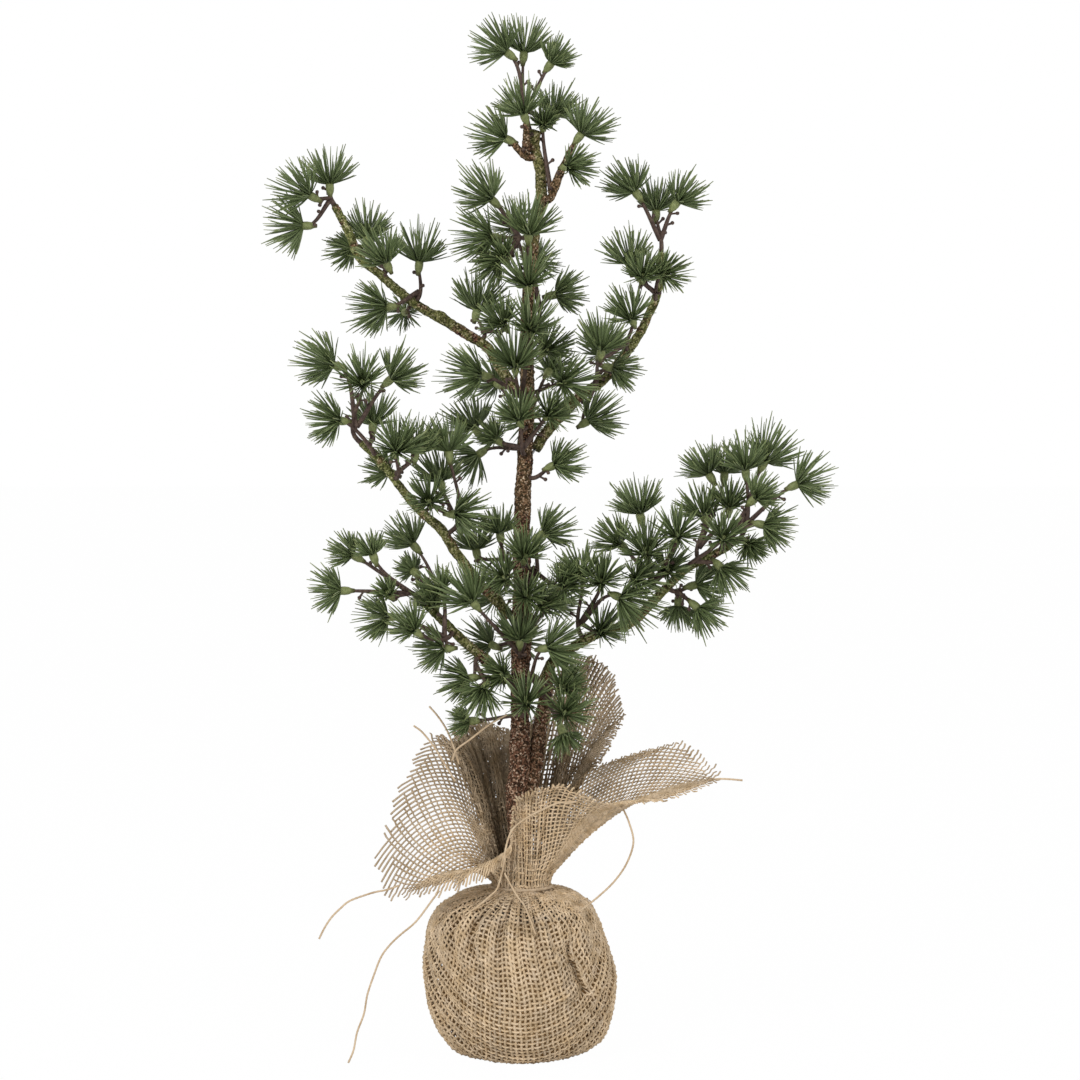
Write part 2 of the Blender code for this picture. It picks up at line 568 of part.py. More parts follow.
def make_spray(name, parent):
    """One moulded spray: a twig from the bark to its first tuft, with side twigs to the others."""
    carrier, share, tufts = SPRAYS[name]
    solids = []
    fork = None
    for root, way, size in tufts:
        root = np.array(root, float) + trunk_foot()
        axis = unit(way)
        if fork is None:
            start, leave = carrier_foot(carrier, share, root)
            stub = start + leave * TWIG_STUB
            bend = twig_path(stub, leave, root, axis)
            fork = stub + (bend[1] - stub) * FORK_AT
            solids.append(twig_solid(np.vstack([start, bend]), TWIG_RADIUS))
        else:
            side = twig_path(fork, unit(root - fork), root, axis)
            solids.append(twig_solid(side, SIDE_TWIG_RADIUS))
        solids.append(tuft_solid(root, axis, size))
    place(name, join_solids(solids), NEEDLES, parent)


def flare_edge(turn):
    """Distance from the axis and height of the cloth's free edge at a turn in degrees."""
    turns, reaches, rises = np.array(FLARE_EDGE, float).T
    reach = np.interp(turn, turns, reaches, period=360)
    height = neck_height() + np.interp(turn, turns, rises, period=360)
    return reach, height


def bag_levels():
    """Radius, height, lean and depth of the folds at each level of the cloth from its foot to the tie."""
    levels = [(CUP_FOOT_RADIUS + BAG_FOOT_EASE, 0, 0, 0)]
    for share, ease, lean in BAG_SIDE:
        rise = share * CUP_HEIGHT
        levels.append((cup_radius(rise) + ease, cup_floor() + rise, lean, BAG_FOLD_DEPTH))
    for out, rise, lean in BAG_SHOULDER:
        levels.append((CUP_RIM_RADIUS + out, rim_height() + rise, lean, 0))
    band = TWINE_RADIUS + NECK_MARGIN
    for height in (neck_height() - band, neck_height() + band):
        levels.append((NECK_RADIUS, height, 0, 0))
    return levels


def cloth_rings():
    """Rings of the wrap's outer face: flat foot, bag, neck and lobed flare."""
    turns = np.arange(CLOTH_AROUND) * 360.0 / CLOTH_AROUND
    angles = np.radians(turns)
    rings = []
    for radius, height, lean, depth in bag_levels():
        reach = radius + depth * np.cos(BAG_FOLDS * angles)
        rings.append(np.column_stack([lean + reach * np.cos(angles), reach * np.sin(angles),
                                      np.full(CLOTH_AROUND, height)]))
    edge_reach, edge_height = flare_edge(turns)
    control_reach = NECK_RADIUS + FLARE_CONTROL_OUT_SHARE * (edge_reach - NECK_RADIUS)
    neck_top = rings[-1][0, 2]
    control_height = neck_top + FLARE_CONTROL_RISE + FLARE_CONTROL_RISE_SHARE * (edge_height - neck_top)
    for step in np.linspace(0, 1, FLARE_ROWS + 1)[1:]:
        start, middle, end = (1 - step) ** 2, 2 * step * (1 - step), step ** 2
        reach = start * NECK_RADIUS + middle * control_reach + end * edge_reach
        height = start * neck_top + middle * control_height + end * edge_height
        rings.append(np.column_stack([reach * np.cos(angles), reach * np.sin(angles), height]))
    return rings


def inward(rings):
    """Unit directions from the outer face of the cloth to its inner face."""
    grid = np.array(rings)
    along = np.gradient(grid, axis=0)
    around = np.roll(grid, -1, axis=1) - np.roll(grid, 1, axis=1)
    normal = np.cross(along, around)
    return normal / np.linalg.norm(normal, axis=2)[:, :, None]


def make_burlap():
    """The burlap wrap: a closed shell of cloth, thick at the neck where it is gathered on the trunk."""
    outer = cloth_rings()
    inner = np.array(outer) + inward(outer) * CLOTH_THICKNESS
    inner[0, :, 2] = CLOTH_THICKNESS
    gathered = (TRUNK_BASE_RADIUS + 2 * GAP) / NECK_RADIUS
    neck_row = len(bag_levels()) - 2
    for row in (neck_row, neck_row + 1):
        inner[row] = outer[row] * (gathered, gathered, 1)
    place("burlap_wrap", skin(outer + list(inner[::-1])), BURLAP)


def make_neck_tie():
    """The ring of twine that holds the gathered cloth at the neck."""
    middle = NECK_RADIUS + GAP + TWINE_RADIUS
    angles = np.arange(TWINE_SIDES) * 2 * math.pi / TWINE_SIDES
    profile = bmesh.new()
    points = [profile.verts.new(((middle + TWINE_RADIUS * math.cos(angle)) * MM, 0,
                                 (neck_height() + TWINE_RADIUS * math.sin(angle)) * MM)) for angle in angles]
    edges = [profile.edges.new((points[i - 1], points[i])) for i in range(TWINE_SIDES)]
    bmesh.ops.spin(profile, geom=points + edges, cent=(0, 0, 0), axis=(0, 0, 1), angle=2 * math.pi,
                   steps=POT_SIDES, use_merge=True)
    bmesh.ops.recalc_face_normals(profile, faces=profile.faces)
    mesh = bpy.data.meshes.new("neck_twine")
    profile.to_mesh(mesh)
    profile.free()
    place("neck_twine", mesh, JUTE)


def make_thread(name):
    """A loose jute thread: a thin round tube on a smooth curve through its points."""
    points = np.array(THREADS[name], float) + (0, 0, neck_height())
    points[:, 2] = np.maximum(points[:, 2], THREAD_DIAMETER / 2 + GAP)
    length = np.linalg.norm(np.diff(points, axis=0), axis=1).sum()
    path = smooth_path(points, int(length / THREAD_SPACING) + 1)
    curve = bpy.data.curves.new(name, "CURVE")
    curve.dimensions = "3D"
    curve.bevel_depth = THREAD_DIAMETER / 2 * MM
    curve.bevel_resolution = 2
    curve.use_fill_caps = True
    spline = curve.splines.new("POLY")
    spline.points.add(len(path) - 1)
    for point, place_on in zip(spline.points, path):
        point.co = (*(place_on * MM), 1)
    place(name, curve, JUTE)


def main():
    """Builds the whole tree."""
    for item in list(bpy.data.objects):
        bpy.data.objects.remove(item)
    make_cup()
    make_cement()
    make_burlap()
    make_neck_tie()
    make_trunk_rod()
    make_trunk()
    joints = {TRUNK: None}
    for name in BRANCHES:
        joints[name] = make_joint(name)
        make_branch(name, joints[name])
    for name in SPRAYS:
        make_spray(name, joints[SPRAYS[name][0]])
    for name in THREADS:
        make_thread(name)


main()
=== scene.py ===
# %% [markdown]
# # A tabletop pine in a tied burlap bag
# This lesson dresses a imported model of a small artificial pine. The model gives the exact place of the pot,
# the trunk, the branches and the outer shape of every spray. Here the plain solids get real needles, gritty
# bark and a bag woven yarn by yarn. Everything is worked out in millimetres and turned into metres when a
# mesh is made.

import json
import math

import bpy
import numpy as np
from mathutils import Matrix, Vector


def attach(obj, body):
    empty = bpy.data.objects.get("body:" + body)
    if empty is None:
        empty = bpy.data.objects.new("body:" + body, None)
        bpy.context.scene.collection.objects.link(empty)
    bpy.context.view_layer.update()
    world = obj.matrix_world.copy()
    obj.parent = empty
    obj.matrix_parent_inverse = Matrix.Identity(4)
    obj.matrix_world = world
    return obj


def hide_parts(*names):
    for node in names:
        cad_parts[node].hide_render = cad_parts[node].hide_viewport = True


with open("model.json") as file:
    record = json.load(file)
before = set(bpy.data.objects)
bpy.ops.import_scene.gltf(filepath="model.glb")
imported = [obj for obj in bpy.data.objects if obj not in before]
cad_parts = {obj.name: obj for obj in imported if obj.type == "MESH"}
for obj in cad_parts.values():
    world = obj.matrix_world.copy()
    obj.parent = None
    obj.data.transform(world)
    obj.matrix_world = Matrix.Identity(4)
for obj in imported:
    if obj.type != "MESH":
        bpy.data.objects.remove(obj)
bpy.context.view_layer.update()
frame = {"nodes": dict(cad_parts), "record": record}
MM = 0.001
BASE = "trunk_and_base"

# %% [markdown]
# ## The camera
# The photograph looks a little down on the tree from about two metres away, through a long lens, so upright
# lines stay upright. A camera could be placed by hand; here it is aimed at the point in the middle of the
# picture.

# %% Camera
EYE = (0.011, -2.0, 0.44)
AIM = (0.011, 0.0, 0.299)
LENS = 115.5


def add_camera():
    """A perspective camera at EYE that looks at AIM."""
    lens = bpy.data.cameras.new("photo_view")
    lens.lens = LENS
    camera = bpy.data.objects.new("photo_view", lens)
    camera.location = EYE
    camera.rotation_euler = (Vector(AIM) - Vector(EYE)).to_track_quat("-Z", "Y").to_euler()
    bpy.context.scene.collection.objects.link(camera)
    bpy.context.scene.camera = camera


add_camera()
print("camera looks from", EYE, "to", AIM)

# %% [markdown]
# ## Tools for surfaces
# Nearly every piece here is a tube: a ring carried along a path. A ring needs two directions square to the
# path, and both come from one cross product with a guide direction, so hundreds of tubes are made in one go
# as arrays. The first index counts tubes, the second rings, the third the points of a ring.

# %% Paths, rings and faces
CURVE_STEPS = 24


def unit(vectors):
    """Each vector divided by its length."""
    vectors = np.asarray(vectors, float)
    return vectors / np.linalg.norm(vectors, axis=-1, keepdims=True)


def smooth_path(points, count):
    """Evenly spaced points on the Catmull-Rom curve: cubic stretches whose slope at a knot is half the way
    between its neighbours."""
    knots = np.asarray(points, float)
    ends = np.vstack([2 * knots[:1] - knots[1:2], knots, 2 * knots[-1:] - knots[-2:-1]])
    a, b, c, d = (ends[k:len(ends) - 3 + k, None] for k in range(4))
    t = np.linspace(0, 1, CURVE_STEPS)[None, :, None]
    square = 2 * a - 5 * b + 4 * c - d
    cube = 3 * b - a - 3 * c + d
    dense = 0.5 * (2 * b + (c - a) * t + square * t ** 2 + cube * t ** 3)
    dense = dense.reshape(-1, 3)
    along = np.concatenate([[0], np.cumsum(np.linalg.norm(np.diff(dense, axis=0), axis=1))])
    return sample_path(dense, along / along[-1], np.linspace(0, 1, count))


def sample_path(path, shares, wanted):
    """Points at the wanted shares of a path's length, by straight interpolation."""
    return np.stack([np.interp(wanted, shares, path[:, axis]) for axis in range(3)], axis=-1)


def headings(paths):
    """Unit direction of travel at every point: the slope between the neighbours."""
    return unit(np.gradient(paths, axis=-2))


def ring_axes(paths, guide):
    """Two unit directions square to the path: across = heading x guide, and up = heading x across."""
    ahead = headings(paths)
    across = unit(np.cross(ahead, guide))
    return across, np.cross(ahead, across)


def rings(paths, guide, widths, heights, sides):
    """Ring points: path + width cos(a) across + height sin(a) up, for sides angles a."""
    across, up = ring_axes(paths, guide)
    angle = np.arange(sides) * 2 * math.pi / sides
    wide = np.cos(angle)[:, None] * across[..., None, :]
    high = np.sin(angle)[:, None] * up[..., None, :]
    widths = np.broadcast_to(widths, paths.shape[:-1])[..., None, None]
    heights = np.broadcast_to(heights, paths.shape[:-1])[..., None, None]
    return paths[..., None, :] + widths * wide + heights * high


def tube_faces(tubes, count, sides):
    """Four-cornered faces of closed tubes: walls from ring to ring, and flat ends fanned from their first
    point."""
    k = np.arange(count - 1)[:, None]
    i = np.arange(sides)[None]
    j = (i + 1) % sides
    low, high = k * sides, (k + 1) * sides
    walls = np.stack([low + i, low + j, high + j, high + i], -1).reshape(-1, 4)
    first = np.arange(1, sides - 2, 2)
    fan = np.stack([0 * first, first, first + 1, first + 2], -1)
    one = np.vstack([walls, fan[:, ::-1], fan + (count - 1) * sides])
    return (np.arange(tubes)[:, None, None] * count * sides + one).reshape(-1, 4)


def put_mesh(name, parts, materials):
    """One object from parts, each (points, faces, material number, values by name), in millimetres."""
    points = np.concatenate([part[0].reshape(-1, 3) for part in parts]) * MM
    starts = np.cumsum([0] + [part[0].size // 3 for part in parts[:-1]])
    faces = np.concatenate([part[1] + start for part, start in zip(parts, starts)])
    finish = np.concatenate([np.full(len(part[1]), part[2]) for part in parts])
    mesh = bpy.data.meshes.new(name)
    mesh.vertices.add(len(points))
    mesh.vertices.foreach_set("co", points.ravel())
    mesh.loops.add(faces.size)
    mesh.loops.foreach_set("vertex_index", faces.ravel().astype(np.int32))
    mesh.polygons.add(len(faces))
    mesh.polygons.foreach_set("loop_start", np.arange(0, faces.size, 4, dtype=np.int32))
    mesh.update(calc_edges=True)
    for material in materials:
        mesh.materials.append(material)
    mesh.polygons.foreach_set("material_index", finish.astype(np.int32))
    mesh.polygons.foreach_set("use_smooth", np.ones(len(faces), bool))
    for label in parts[0][3]:
        spread = [np.broadcast_to(part[3][label], part[0].shape[:-1]).ravel() for part in parts]
        values = np.concatenate(spread).astype(np.float32)
        mesh.attributes.new(label, "FLOAT", "POINT").data.foreach_set("value", values)
    piece = bpy.data.objects.new(name, mesh)
    bpy.context.scene.collection.objects.link(piece)
    return piece


print("tools for tubes are ready")

# %% [markdown]
# ## Random grain
# Bark, jute and needles are never even. Two sources of chance are used, both with fixed seeds so that the
# tree comes out the same each time: a random generator for whole pieces, and a lattice noise for what
# varies over a surface.

# %% Chance
SEED = 24
CELL_MIX = (73856093, 19349663, 83492791)
SEED_MIX, LAST_MIX, LOW_BITS = 40503, 1274126177, 0xFFFF
chance = np.random.default_rng(SEED)


def lattice(cells, seed):
    """A fixed random number from 0 to 1 for each whole-numbered cell, by mixing the bits of its three
    numbers."""
    x, y, z = (cells[..., axis] * CELL_MIX[axis] for axis in range(3))
    mixed = x ^ y ^ z ^ (seed * SEED_MIX)
    mixed = (mixed ^ (mixed >> 13)) * LAST_MIX
    return ((mixed ^ (mixed >> 16)) & LOW_BITS) / LOW_BITS


def grain(points, cell, seed):
    """Smooth noise from 0 to 1: the lattice numbers at the eight corners round a point, blended with 3t2 -
    2t3."""
    place = points / cell
    corner = np.floor(place).astype(np.int64)
    part = place - corner
    part = part * part * (3 - 2 * part)
    total = 0
    for step in np.ndindex(2, 2, 2):
        weight = np.prod(np.where(step, part, 1 - part), axis=-1)
        total = total + weight * lattice(corner + np.array(step), seed)
    return total


print("chance starts from seed", SEED)

# %% [markdown]
# ## Finishes
# Each finish is a small network round one Principled shader. Noise on Object coordinates gives the colour
# its patches and the surface its bump, and values stored on the mesh carry what belongs to a single needle
# or yarn, and on the bag's yarns painted shade and painted light as well.


# %% A helper for finishes
class Finish:
    """A material with one Principled shader and short calls to add what feeds it."""

    def __init__(self, name, roughness, shine, metallic=0.0):
        self.material = bpy.data.materials.new(name)
        self.material.use_nodes = True
        self.tree = self.material.node_tree
        self.shader = self.tree.nodes["Principled BSDF"]
        self.shader.inputs["Roughness"].default_value = roughness
        self.shader.inputs["Specular IOR Level"].default_value = shine
        self.shader.inputs["Metallic"].default_value = metallic
        self.place = self.tree.nodes.new("ShaderNodeTexCoord").outputs["Object"]

    def noise(self, scale, detail=3.0, stretch=(1, 1, 1)):
        """Noise from 0 to 1 over Object coordinates, finer for a larger scale."""
        turn = self.tree.nodes.new("ShaderNodeMapping")
        turn.inputs["Scale"].default_value = stretch
        self.tree.links.new(self.place, turn.inputs["Vector"])
        node = self.tree.nodes.new("ShaderNodeTexNoise")
        node.inputs["Scale"].default_value = scale
        node.inputs["Detail"].default_value = detail
        self.tree.links.new(turn.outputs["Vector"], node.inputs["Vector"])
        return node.outputs["Fac"]

    def crumbs(self, scale):
        """A random value from 0 to 1 for each small cell of space, the same all over a cell."""
        cells = self.tree.nodes.new("ShaderNodeTexVoronoi")
        cells.inputs["Scale"].default_value = scale
        self.tree.links.new(self.place, cells.inputs["Vector"])
        split = self.tree.nodes.new("ShaderNodeSeparateColor")
        self.tree.links.new(cells.outputs["Color"], split.inputs["Color"])
        return split.outputs["Red"]

    def stored(self, label):
        """A value kept on the mesh."""
        node = self.tree.nodes.new("ShaderNodeAttribute")
        node.attribute_name = label
        return node.outputs["Fac"]

    def ramp(self, value, stops):
        """Colours at places from 0 to 1, blended between."""
        node = self.tree.nodes.new("ShaderNodeValToRGB")
        while len(node.color_ramp.elements) < len(stops):
            node.color_ramp.elements.new(0.5)
        for element, (place, colour) in zip(node.color_ramp.elements, stops):
            element.position = place
            element.color = (*colour, 1)
        self.tree.links.new(value, node.inputs["Fac"])
        return node.outputs["Color"]

    def mix(self, share, low, high, kind="MIX"):
        """Two colours mixed by a share."""
        node = self.tree.nodes.new("ShaderNodeMix")
        node.data_type = "RGBA"
        node.blend_type = kind
        for value, socket in ((share, node.inputs[0]), (low, node.inputs[6]), (high, node.inputs[7])):
            if isinstance(value, bpy.types.NodeSocket):
                self.tree.links.new(value, socket)
            else:
                socket.default_value = value if isinstance(value, float) else (*value, 1)
        return node.outputs[2]

    def colour(self, value):
        """Feeds the base colour."""
        self.tree.links.new(value, self.shader.inputs["Base Color"])

    def bump(self, value, strength, depth):
        """Feeds the surface's relief."""
        node = self.tree.nodes.new("ShaderNodeBump")
        node.inputs["Strength"].default_value = strength
        node.inputs["Distance"].default_value = depth
        self.tree.links.new(value, node.inputs["Height"])
        self.tree.links.new(node.outputs["Normal"], self.shader.inputs["Normal"])


def jute_finish(name, pale, mid, dark):
    """Jute fibre: patches along the yarn, a tone stored for each yarn that on the bag's flare also holds
    painted shade and painted light, and a fine fibrous bump.
    """
    look = Finish(name, 0.95, 0.1)
    fibre = look.noise(1400.0, 4.0)
    patches = look.ramp(look.noise(160.0, 3.0), [(0.3, dark), (0.5, mid), (0.72, pale)])
    # The stored shade scales the colour: tone for each yarn, and on the bag's flare painted shade and painted
    # light; the dark low end serves the painted shade inside the flare.
    yarn = look.ramp(look.stored("shade"), [
        (0.0, (0.38, 0.37, 0.36)), (0.15, (0.66, 0.67, 0.70)), (1.0, (1.0, 1.0, 1.0))])
    look.colour(look.mix(1.0, patches, yarn, "MULTIPLY"))
    look.bump(fibre, 0.5, 0.0004)
    return look.material


burlap_look = jute_finish("burlap_yarn", (0.75, 0.59, 0.41), (0.65, 0.495, 0.32), (0.51, 0.365, 0.21))
thread_look = jute_finish("loose_jute", (0.66, 0.52, 0.36), (0.58, 0.44, 0.29), (0.46, 0.33, 0.20))
print("finishes:", burlap_look.name, thread_look.name)

# %% [markdown]
# ## Loose threads
# A few jute yarns have pulled out of the cloth. One hangs from the left lobe down to the table, one leaves
# the left edge, one loops under the right lobe and one crosses the front with a short tail. Four short ends
# stand free at the edges of the cloth. A thread could be a plain round wire; here each is a fixed length of
# limp yarn on one smooth curve, and its tube is not quite round, because two plies twist about each other
# along it.

# %% Loose threads
NECK_HEIGHT = 97.1
THREAD_DIAMETER = 1.2
THREAD_LOWEST = 0.9
THREAD_STEP, THREAD_SIDES = 0.6, 8
THREAD_GUIDE = (0.2, 1.0, 0.1)
THREAD_DARKEST, THREAD_VARIES, THREAD_PATCH, THREAD_SEED = 0.6, 0.4, 9.0, 3
PLY_TURN = 5.0
PLY_CORE, PLY_SWELL = 0.82, 0.18
THREADS = {
    "left_long_thread": [
        (-46.6, -40.0, 3.9), (-51, -41, -2), (-60, -40, -14), (-69, -38, -22), (-75, -37, -28),
        (-80, -36, -35), (-84, -36, -45), (-88, -36, -57), (-90, -36, -68), (-94, -36, -79),
        (-96, -37, -89), (-99, -38, -96.2)],
    "left_short_thread": [
        (-70.2, -35.6, 6), (-77, -38, 4), (-83, -39, 3), (-90, -40, 1), (-98, -41, -2), (-103, -42, -6),
        (-108, -43, -11), (-112, -44, -17), (-115, -45, -23)],
    "right_thread": [
        (58.8, -32.4, 49.5), (62, -33, 42), (64.5, -33, 31), (61, -32, 19), (54, -30, 8), (45, -29, -1),
        (37, -28.5, -7.5), (32.4, -27.9, -10.6)],
    "front_thread": [
        (31.9, -37, 54.7), (21, -38, 54), (12, -37.5, 50), (3, -36, 45), (-4, -33, 39), (-7, -31, 33),
        (-9, -31, 25), (-10, -30, 16), (-12, -29, 8), (-14, -28.5, 2.5), (-18, -31, -1), (-24, -35, -5.5),
        (-32.1, -37.2, -10.9)],
    "front_thread_tail": [
        (-9.4, -29.8, 12.5), (-6, -31, 6), (-2, -33, -0.5), (2, -38.2, -4.9), (4.8, -45.5, -10.2),
        (8.5, -50, -19.6)],
}
SHORT_ENDS = {
    "top_left_end": [(-36, -4, 72), (-39, -5, 82), (-43, -6, 92), (-48, -7, 100), (-53, -8, 106)],
    "left_edge_end": [(-38, -6, 62), (-44, -7, 72), (-50, -8, 82), (-57, -9, 91), (-62, -10, 95)],
    "back_left_end": [(-40, -4, 74), (-37, -8, 81), (-29, -16, 88), (-18, -20, 97), (-8, -22, 103)],
    "right_tip_end": [(95, -25, 63), (104, -27, 65), (113, -28, 66.5), (120, -29, 66.5), (127, -30, 66)],
}


def path_length(path):
    """Sum of the straight steps of a path."""
    return np.linalg.norm(np.diff(path, axis=0), axis=1).sum()


def plied_rings(path, guide, radius, turn, sides):
    """Rings of a two-ply yarn: the radius swells with |cos(angle - twist)|, and the twist grows along the
    path."""
    around = rings(path, guide, 1.0, 1.0, sides) - path[:, None]
    angle = np.arange(sides) * 2 * math.pi / sides
    along = np.linspace(0, path_length(path), len(path))
    swell = PLY_CORE + PLY_SWELL * np.abs(np.cos(angle - along[:, None] * 2 * math.pi / turn))
    return path[:, None] + around * (radius * swell)[..., None]


def make_thread(name, points):
    """One loose thread as a twisted tube on the curve through its points."""
    knots = np.array(points, float) + (0, 0, NECK_HEIGHT)
    knots[:, 2] = np.maximum(knots[:, 2], THREAD_LOWEST)
    path = smooth_path(knots, int(path_length(knots) / THREAD_STEP))
    points = plied_rings(path, THREAD_GUIDE, THREAD_DIAMETER / 2, PLY_TURN, THREAD_SIDES)
    along = path[:, None] + 0 * points
    shade = THREAD_DARKEST + THREAD_VARIES * grain(along, THREAD_PATCH, THREAD_SEED)
    yarn = (points, tube_faces(1, len(path), THREAD_SIDES), 0, {"shade": shade})
    piece = put_mesh(name + "_yarn", [yarn], [thread_look])
    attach(piece, BASE)


for thread in THREADS:
    make_thread(thread, THREADS[thread])
    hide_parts(thread)
for thread in SHORT_ENDS:
    make_thread(thread, SHORT_ENDS[thread])

# %% [markdown]
# ## The burlap
# The bag is one piece of open jute cloth. It is laid under the foot of the pot, drawn up round it, tied at
# the neck and left to flare into lobes. A picture of cloth on a smooth shell would not show the holes, so
# every yarn is made. First comes a grid with one point for each crossing of two yarns. It is wrapped by a
# rule: distance from the middle of the cloth becomes distance along the bag's outline, past the tie and out
# along the flare. Halfway between the two directions of yarn the open weave is pulled askew, so there a
# little less cloth reaches the tie.

# %% Flat cloth and its outline on the pot
PITCH = 2.88
YARNS_LEFT, YARNS_RIGHT, YARNS_FRONT, YARNS_BACK = 89, 108, 87, 89
POT_FOOT, POT_BELLY, POT_RIM = (36.0, 2.1), (48.0, 38.1), (39.0, 82.1)
BAG_PROFILE = [
    (0, 0.7, 0), (39, 0.7, 0), (43, 3.7, 2), (48.5, 11.7, 1), (53.5, 25.3, 0), (55.9, 42, 0),
    (53.5, 61.3, -3), (50.8, 75.7, -5), (45.5, 86.1, -4.5), (37, 91.6, -3), (27, 94.1, -1), (17, 95.5, 0),
]
NECK_RADIUS = 16.0
NECK_TOP = NECK_HEIGHT + 2.5
FLARE_EDGE = [
    (0, 93, 83), (16, 44, 66), (30, 70, 96), (38, 66, 118), (46, 60, 129), (56, 50, 128),
    (66, 43, 108), (90, 34, 83), (118, 46, 89), (150, 44, 89), (164, 40, 80), (174, 52, 88),
    (186, 69, 62), (196, 85, 27), (206, 84, 2), (226, 52, 6), (246, 26, 19), (256, 24, 27),
    (268, 30, 55), (284, 36, 63), (302, 46, 67), (318, 66, 53), (332, 92, 55), (345, 118, 69),
]
LOBES_FLAT = [-38, -28, 5, 18, 115, 200, 235, 257, 273, 289, 304, 322]
LOBES_ROUND = [16, 22, 48, 75, 140, 172, 226, 256, 270, 322, 345, 376]
FIRST_TURN = LOBES_FLAT[0]
SKEW_DRAW, SKEW_START, SKEW_FADE = 0.085, 45, 90
EDGE_SPARE = 5.0

across_steps = np.arange(-YARNS_LEFT, YARNS_RIGHT + 1) * PITCH
deep_steps = np.arange(-YARNS_FRONT, YARNS_BACK + 1) * PITCH
flat_x, flat_y = np.meshgrid(across_steps, deep_steps, indexing="ij")
flat_out = np.maximum(np.hypot(flat_x, flat_y), 1e-6)
flat_turn = (np.degrees(np.arctan2(flat_y, flat_x)) - FIRST_TURN) % 360 + FIRST_TURN
skewed = np.sin(2 * np.radians(flat_turn)) ** 2 * np.clip((flat_out - SKEW_START) / SKEW_FADE, 0, 1)
drawn_out = flat_out * (1 + SKEW_DRAW * skewed)
profile = np.array(BAG_PROFILE, float)
profile_steps = np.linalg.norm(np.diff(profile[:, :2], axis=0), axis=1)
profile_along = np.concatenate([[0], np.cumsum(profile_steps)])
neck_out = profile_along[-1]
print("cloth:", flat_x.shape, "yarns, tied", round(neck_out), "mm out from its middle")

# %% [markdown]
# ### The first wrap
# Each crossing gets a turn about the trunk and a length along the bag's outline or the flare's line. The
# cloth could be modelled by hand as a folded shell, but then the yarns would not follow one flat sheet.

# %% First wrap
# Turns are in degrees about the trunk, and lengths in millimetres along the cloth.
FRONT_HALF = 55.0
FRONT_SPREAD_AT = [30, 44, 68, 85, 104, 120, 160]
FRONT_SPREAD = [1.0, 1.02, 1.2, 1.38, 1.58, 1.62, 1.5]
FLARE_OUT, FLARE_UP, FLARE_STEEP = 0.4, 0.6, 20
FLARE_STEPS, FLARE_LONGEST, FLARE_BEYOND = 41, 260, 0.4
LOBES_START, LOBES_FADE = -10, 30
FRONT_TURN, FRONT_WIDTH, FRONT_CALM = 285, 38, 0.85
PLEATS, PLEAT_DRIFT, PLEAT_EVEN, PLEAT_UNEVEN = 27, 1.7, 0.6, 0.4
PLEAT_AT = [70, 125, neck_out, neck_out + 25, neck_out + 60]
PLEAT_DEPTH = [0, 2.5, 5, 3, 0]
RUFFLES, RUFFLE_DRIFT, RUFFLE_SLANT = 16, 2.2, 0.012
RUFFLE_HEIGHT, RUFFLE_START, RUFFLE_FADE = 1.8, 8, 45
KEPT_BEYOND = 3


def smooth_step(value):
    """3t2 - 2t3 of a value held between 0 and 1."""
    t = np.clip(value, 0, 1)
    return t * t * (3 - 2 * t)


def flare_point(turn, t):
    """Reach and height at a share t of the flare's line at a turn: a parabola from the tie, steep at first,
    to the free edge, so its middle point lies four tenths of the way out and well up."""
    edge_turn, edge_reach, edge_rise = np.array(FLARE_EDGE, float).T
    reach = np.interp(turn, edge_turn, edge_reach, period=360)
    height = NECK_HEIGHT + np.interp(turn, edge_turn, edge_rise, period=360)
    middle_reach = NECK_RADIUS + FLARE_OUT * (reach - NECK_RADIUS)
    middle_height = NECK_TOP + FLARE_STEEP + FLARE_UP * (height - NECK_TOP)
    a, b, c = (1 - t) ** 2, 2 * t * (1 - t), t ** 2
    return a * NECK_RADIUS + b * middle_reach + c * reach, a * NECK_TOP + b * middle_height + c * height


def flare_lengths():
    """Length of the flare's line from the tie, by whole degrees and by share of the line."""
    shares = np.linspace(0, 1, FLARE_STEPS)
    reach, height = flare_point(np.arange(361.0)[:, None], shares[None])
    steps = np.hypot(np.diff(reach, axis=1), np.diff(height, axis=1))
    return shares, np.concatenate([np.zeros((361, 1)), np.cumsum(steps, axis=1)], axis=1)


def flare_share(turn, along):
    """Share of the flare's line at a length along it, from a table by whole degrees and millimetres."""
    shares, lengths = flare_lengths()
    table = np.array([np.interp(np.arange(FLARE_LONGEST), row, shares) for row in lengths])
    whole = np.floor(turn % 360).astype(int)
    part = turn % 360 - whole
    far = np.clip(along, 0, FLARE_LONGEST - 2)
    low = np.floor(far).astype(int)

    def in_row(row):
        """Share between two whole millimetres of one row of the table."""
        return table[row, low] + (far - low) * (table[row, low + 1] - table[row, low])

    near_row = in_row(whole)
    share = near_row + part * (in_row(whole + 1) - near_row)
    full = lengths[whole, -1] + part * (lengths[whole + 1, -1] - lengths[whole, -1])
    return share + np.clip(along / full - 1, 0, FLARE_BEYOND), full


def front_first(turn):
    """Turns on the bag: the cloth within FRONT_HALF degrees of the front is spread wider, by a share set
    for each distance from the middle, so that its yarns lie upright there, and the rest is crowded into the
    back."""
    away = (turn - 90) % 360 - 180
    spread = np.interp(drawn_out, FRONT_SPREAD_AT, FRONT_SPREAD)
    near = spread * np.minimum(np.abs(away), FRONT_HALF)
    crowd = (180 - spread * FRONT_HALF) / (180 - FRONT_HALF)
    return 270 + np.sign(away) * (near + crowd * np.maximum(np.abs(away) - FRONT_HALF, 0))


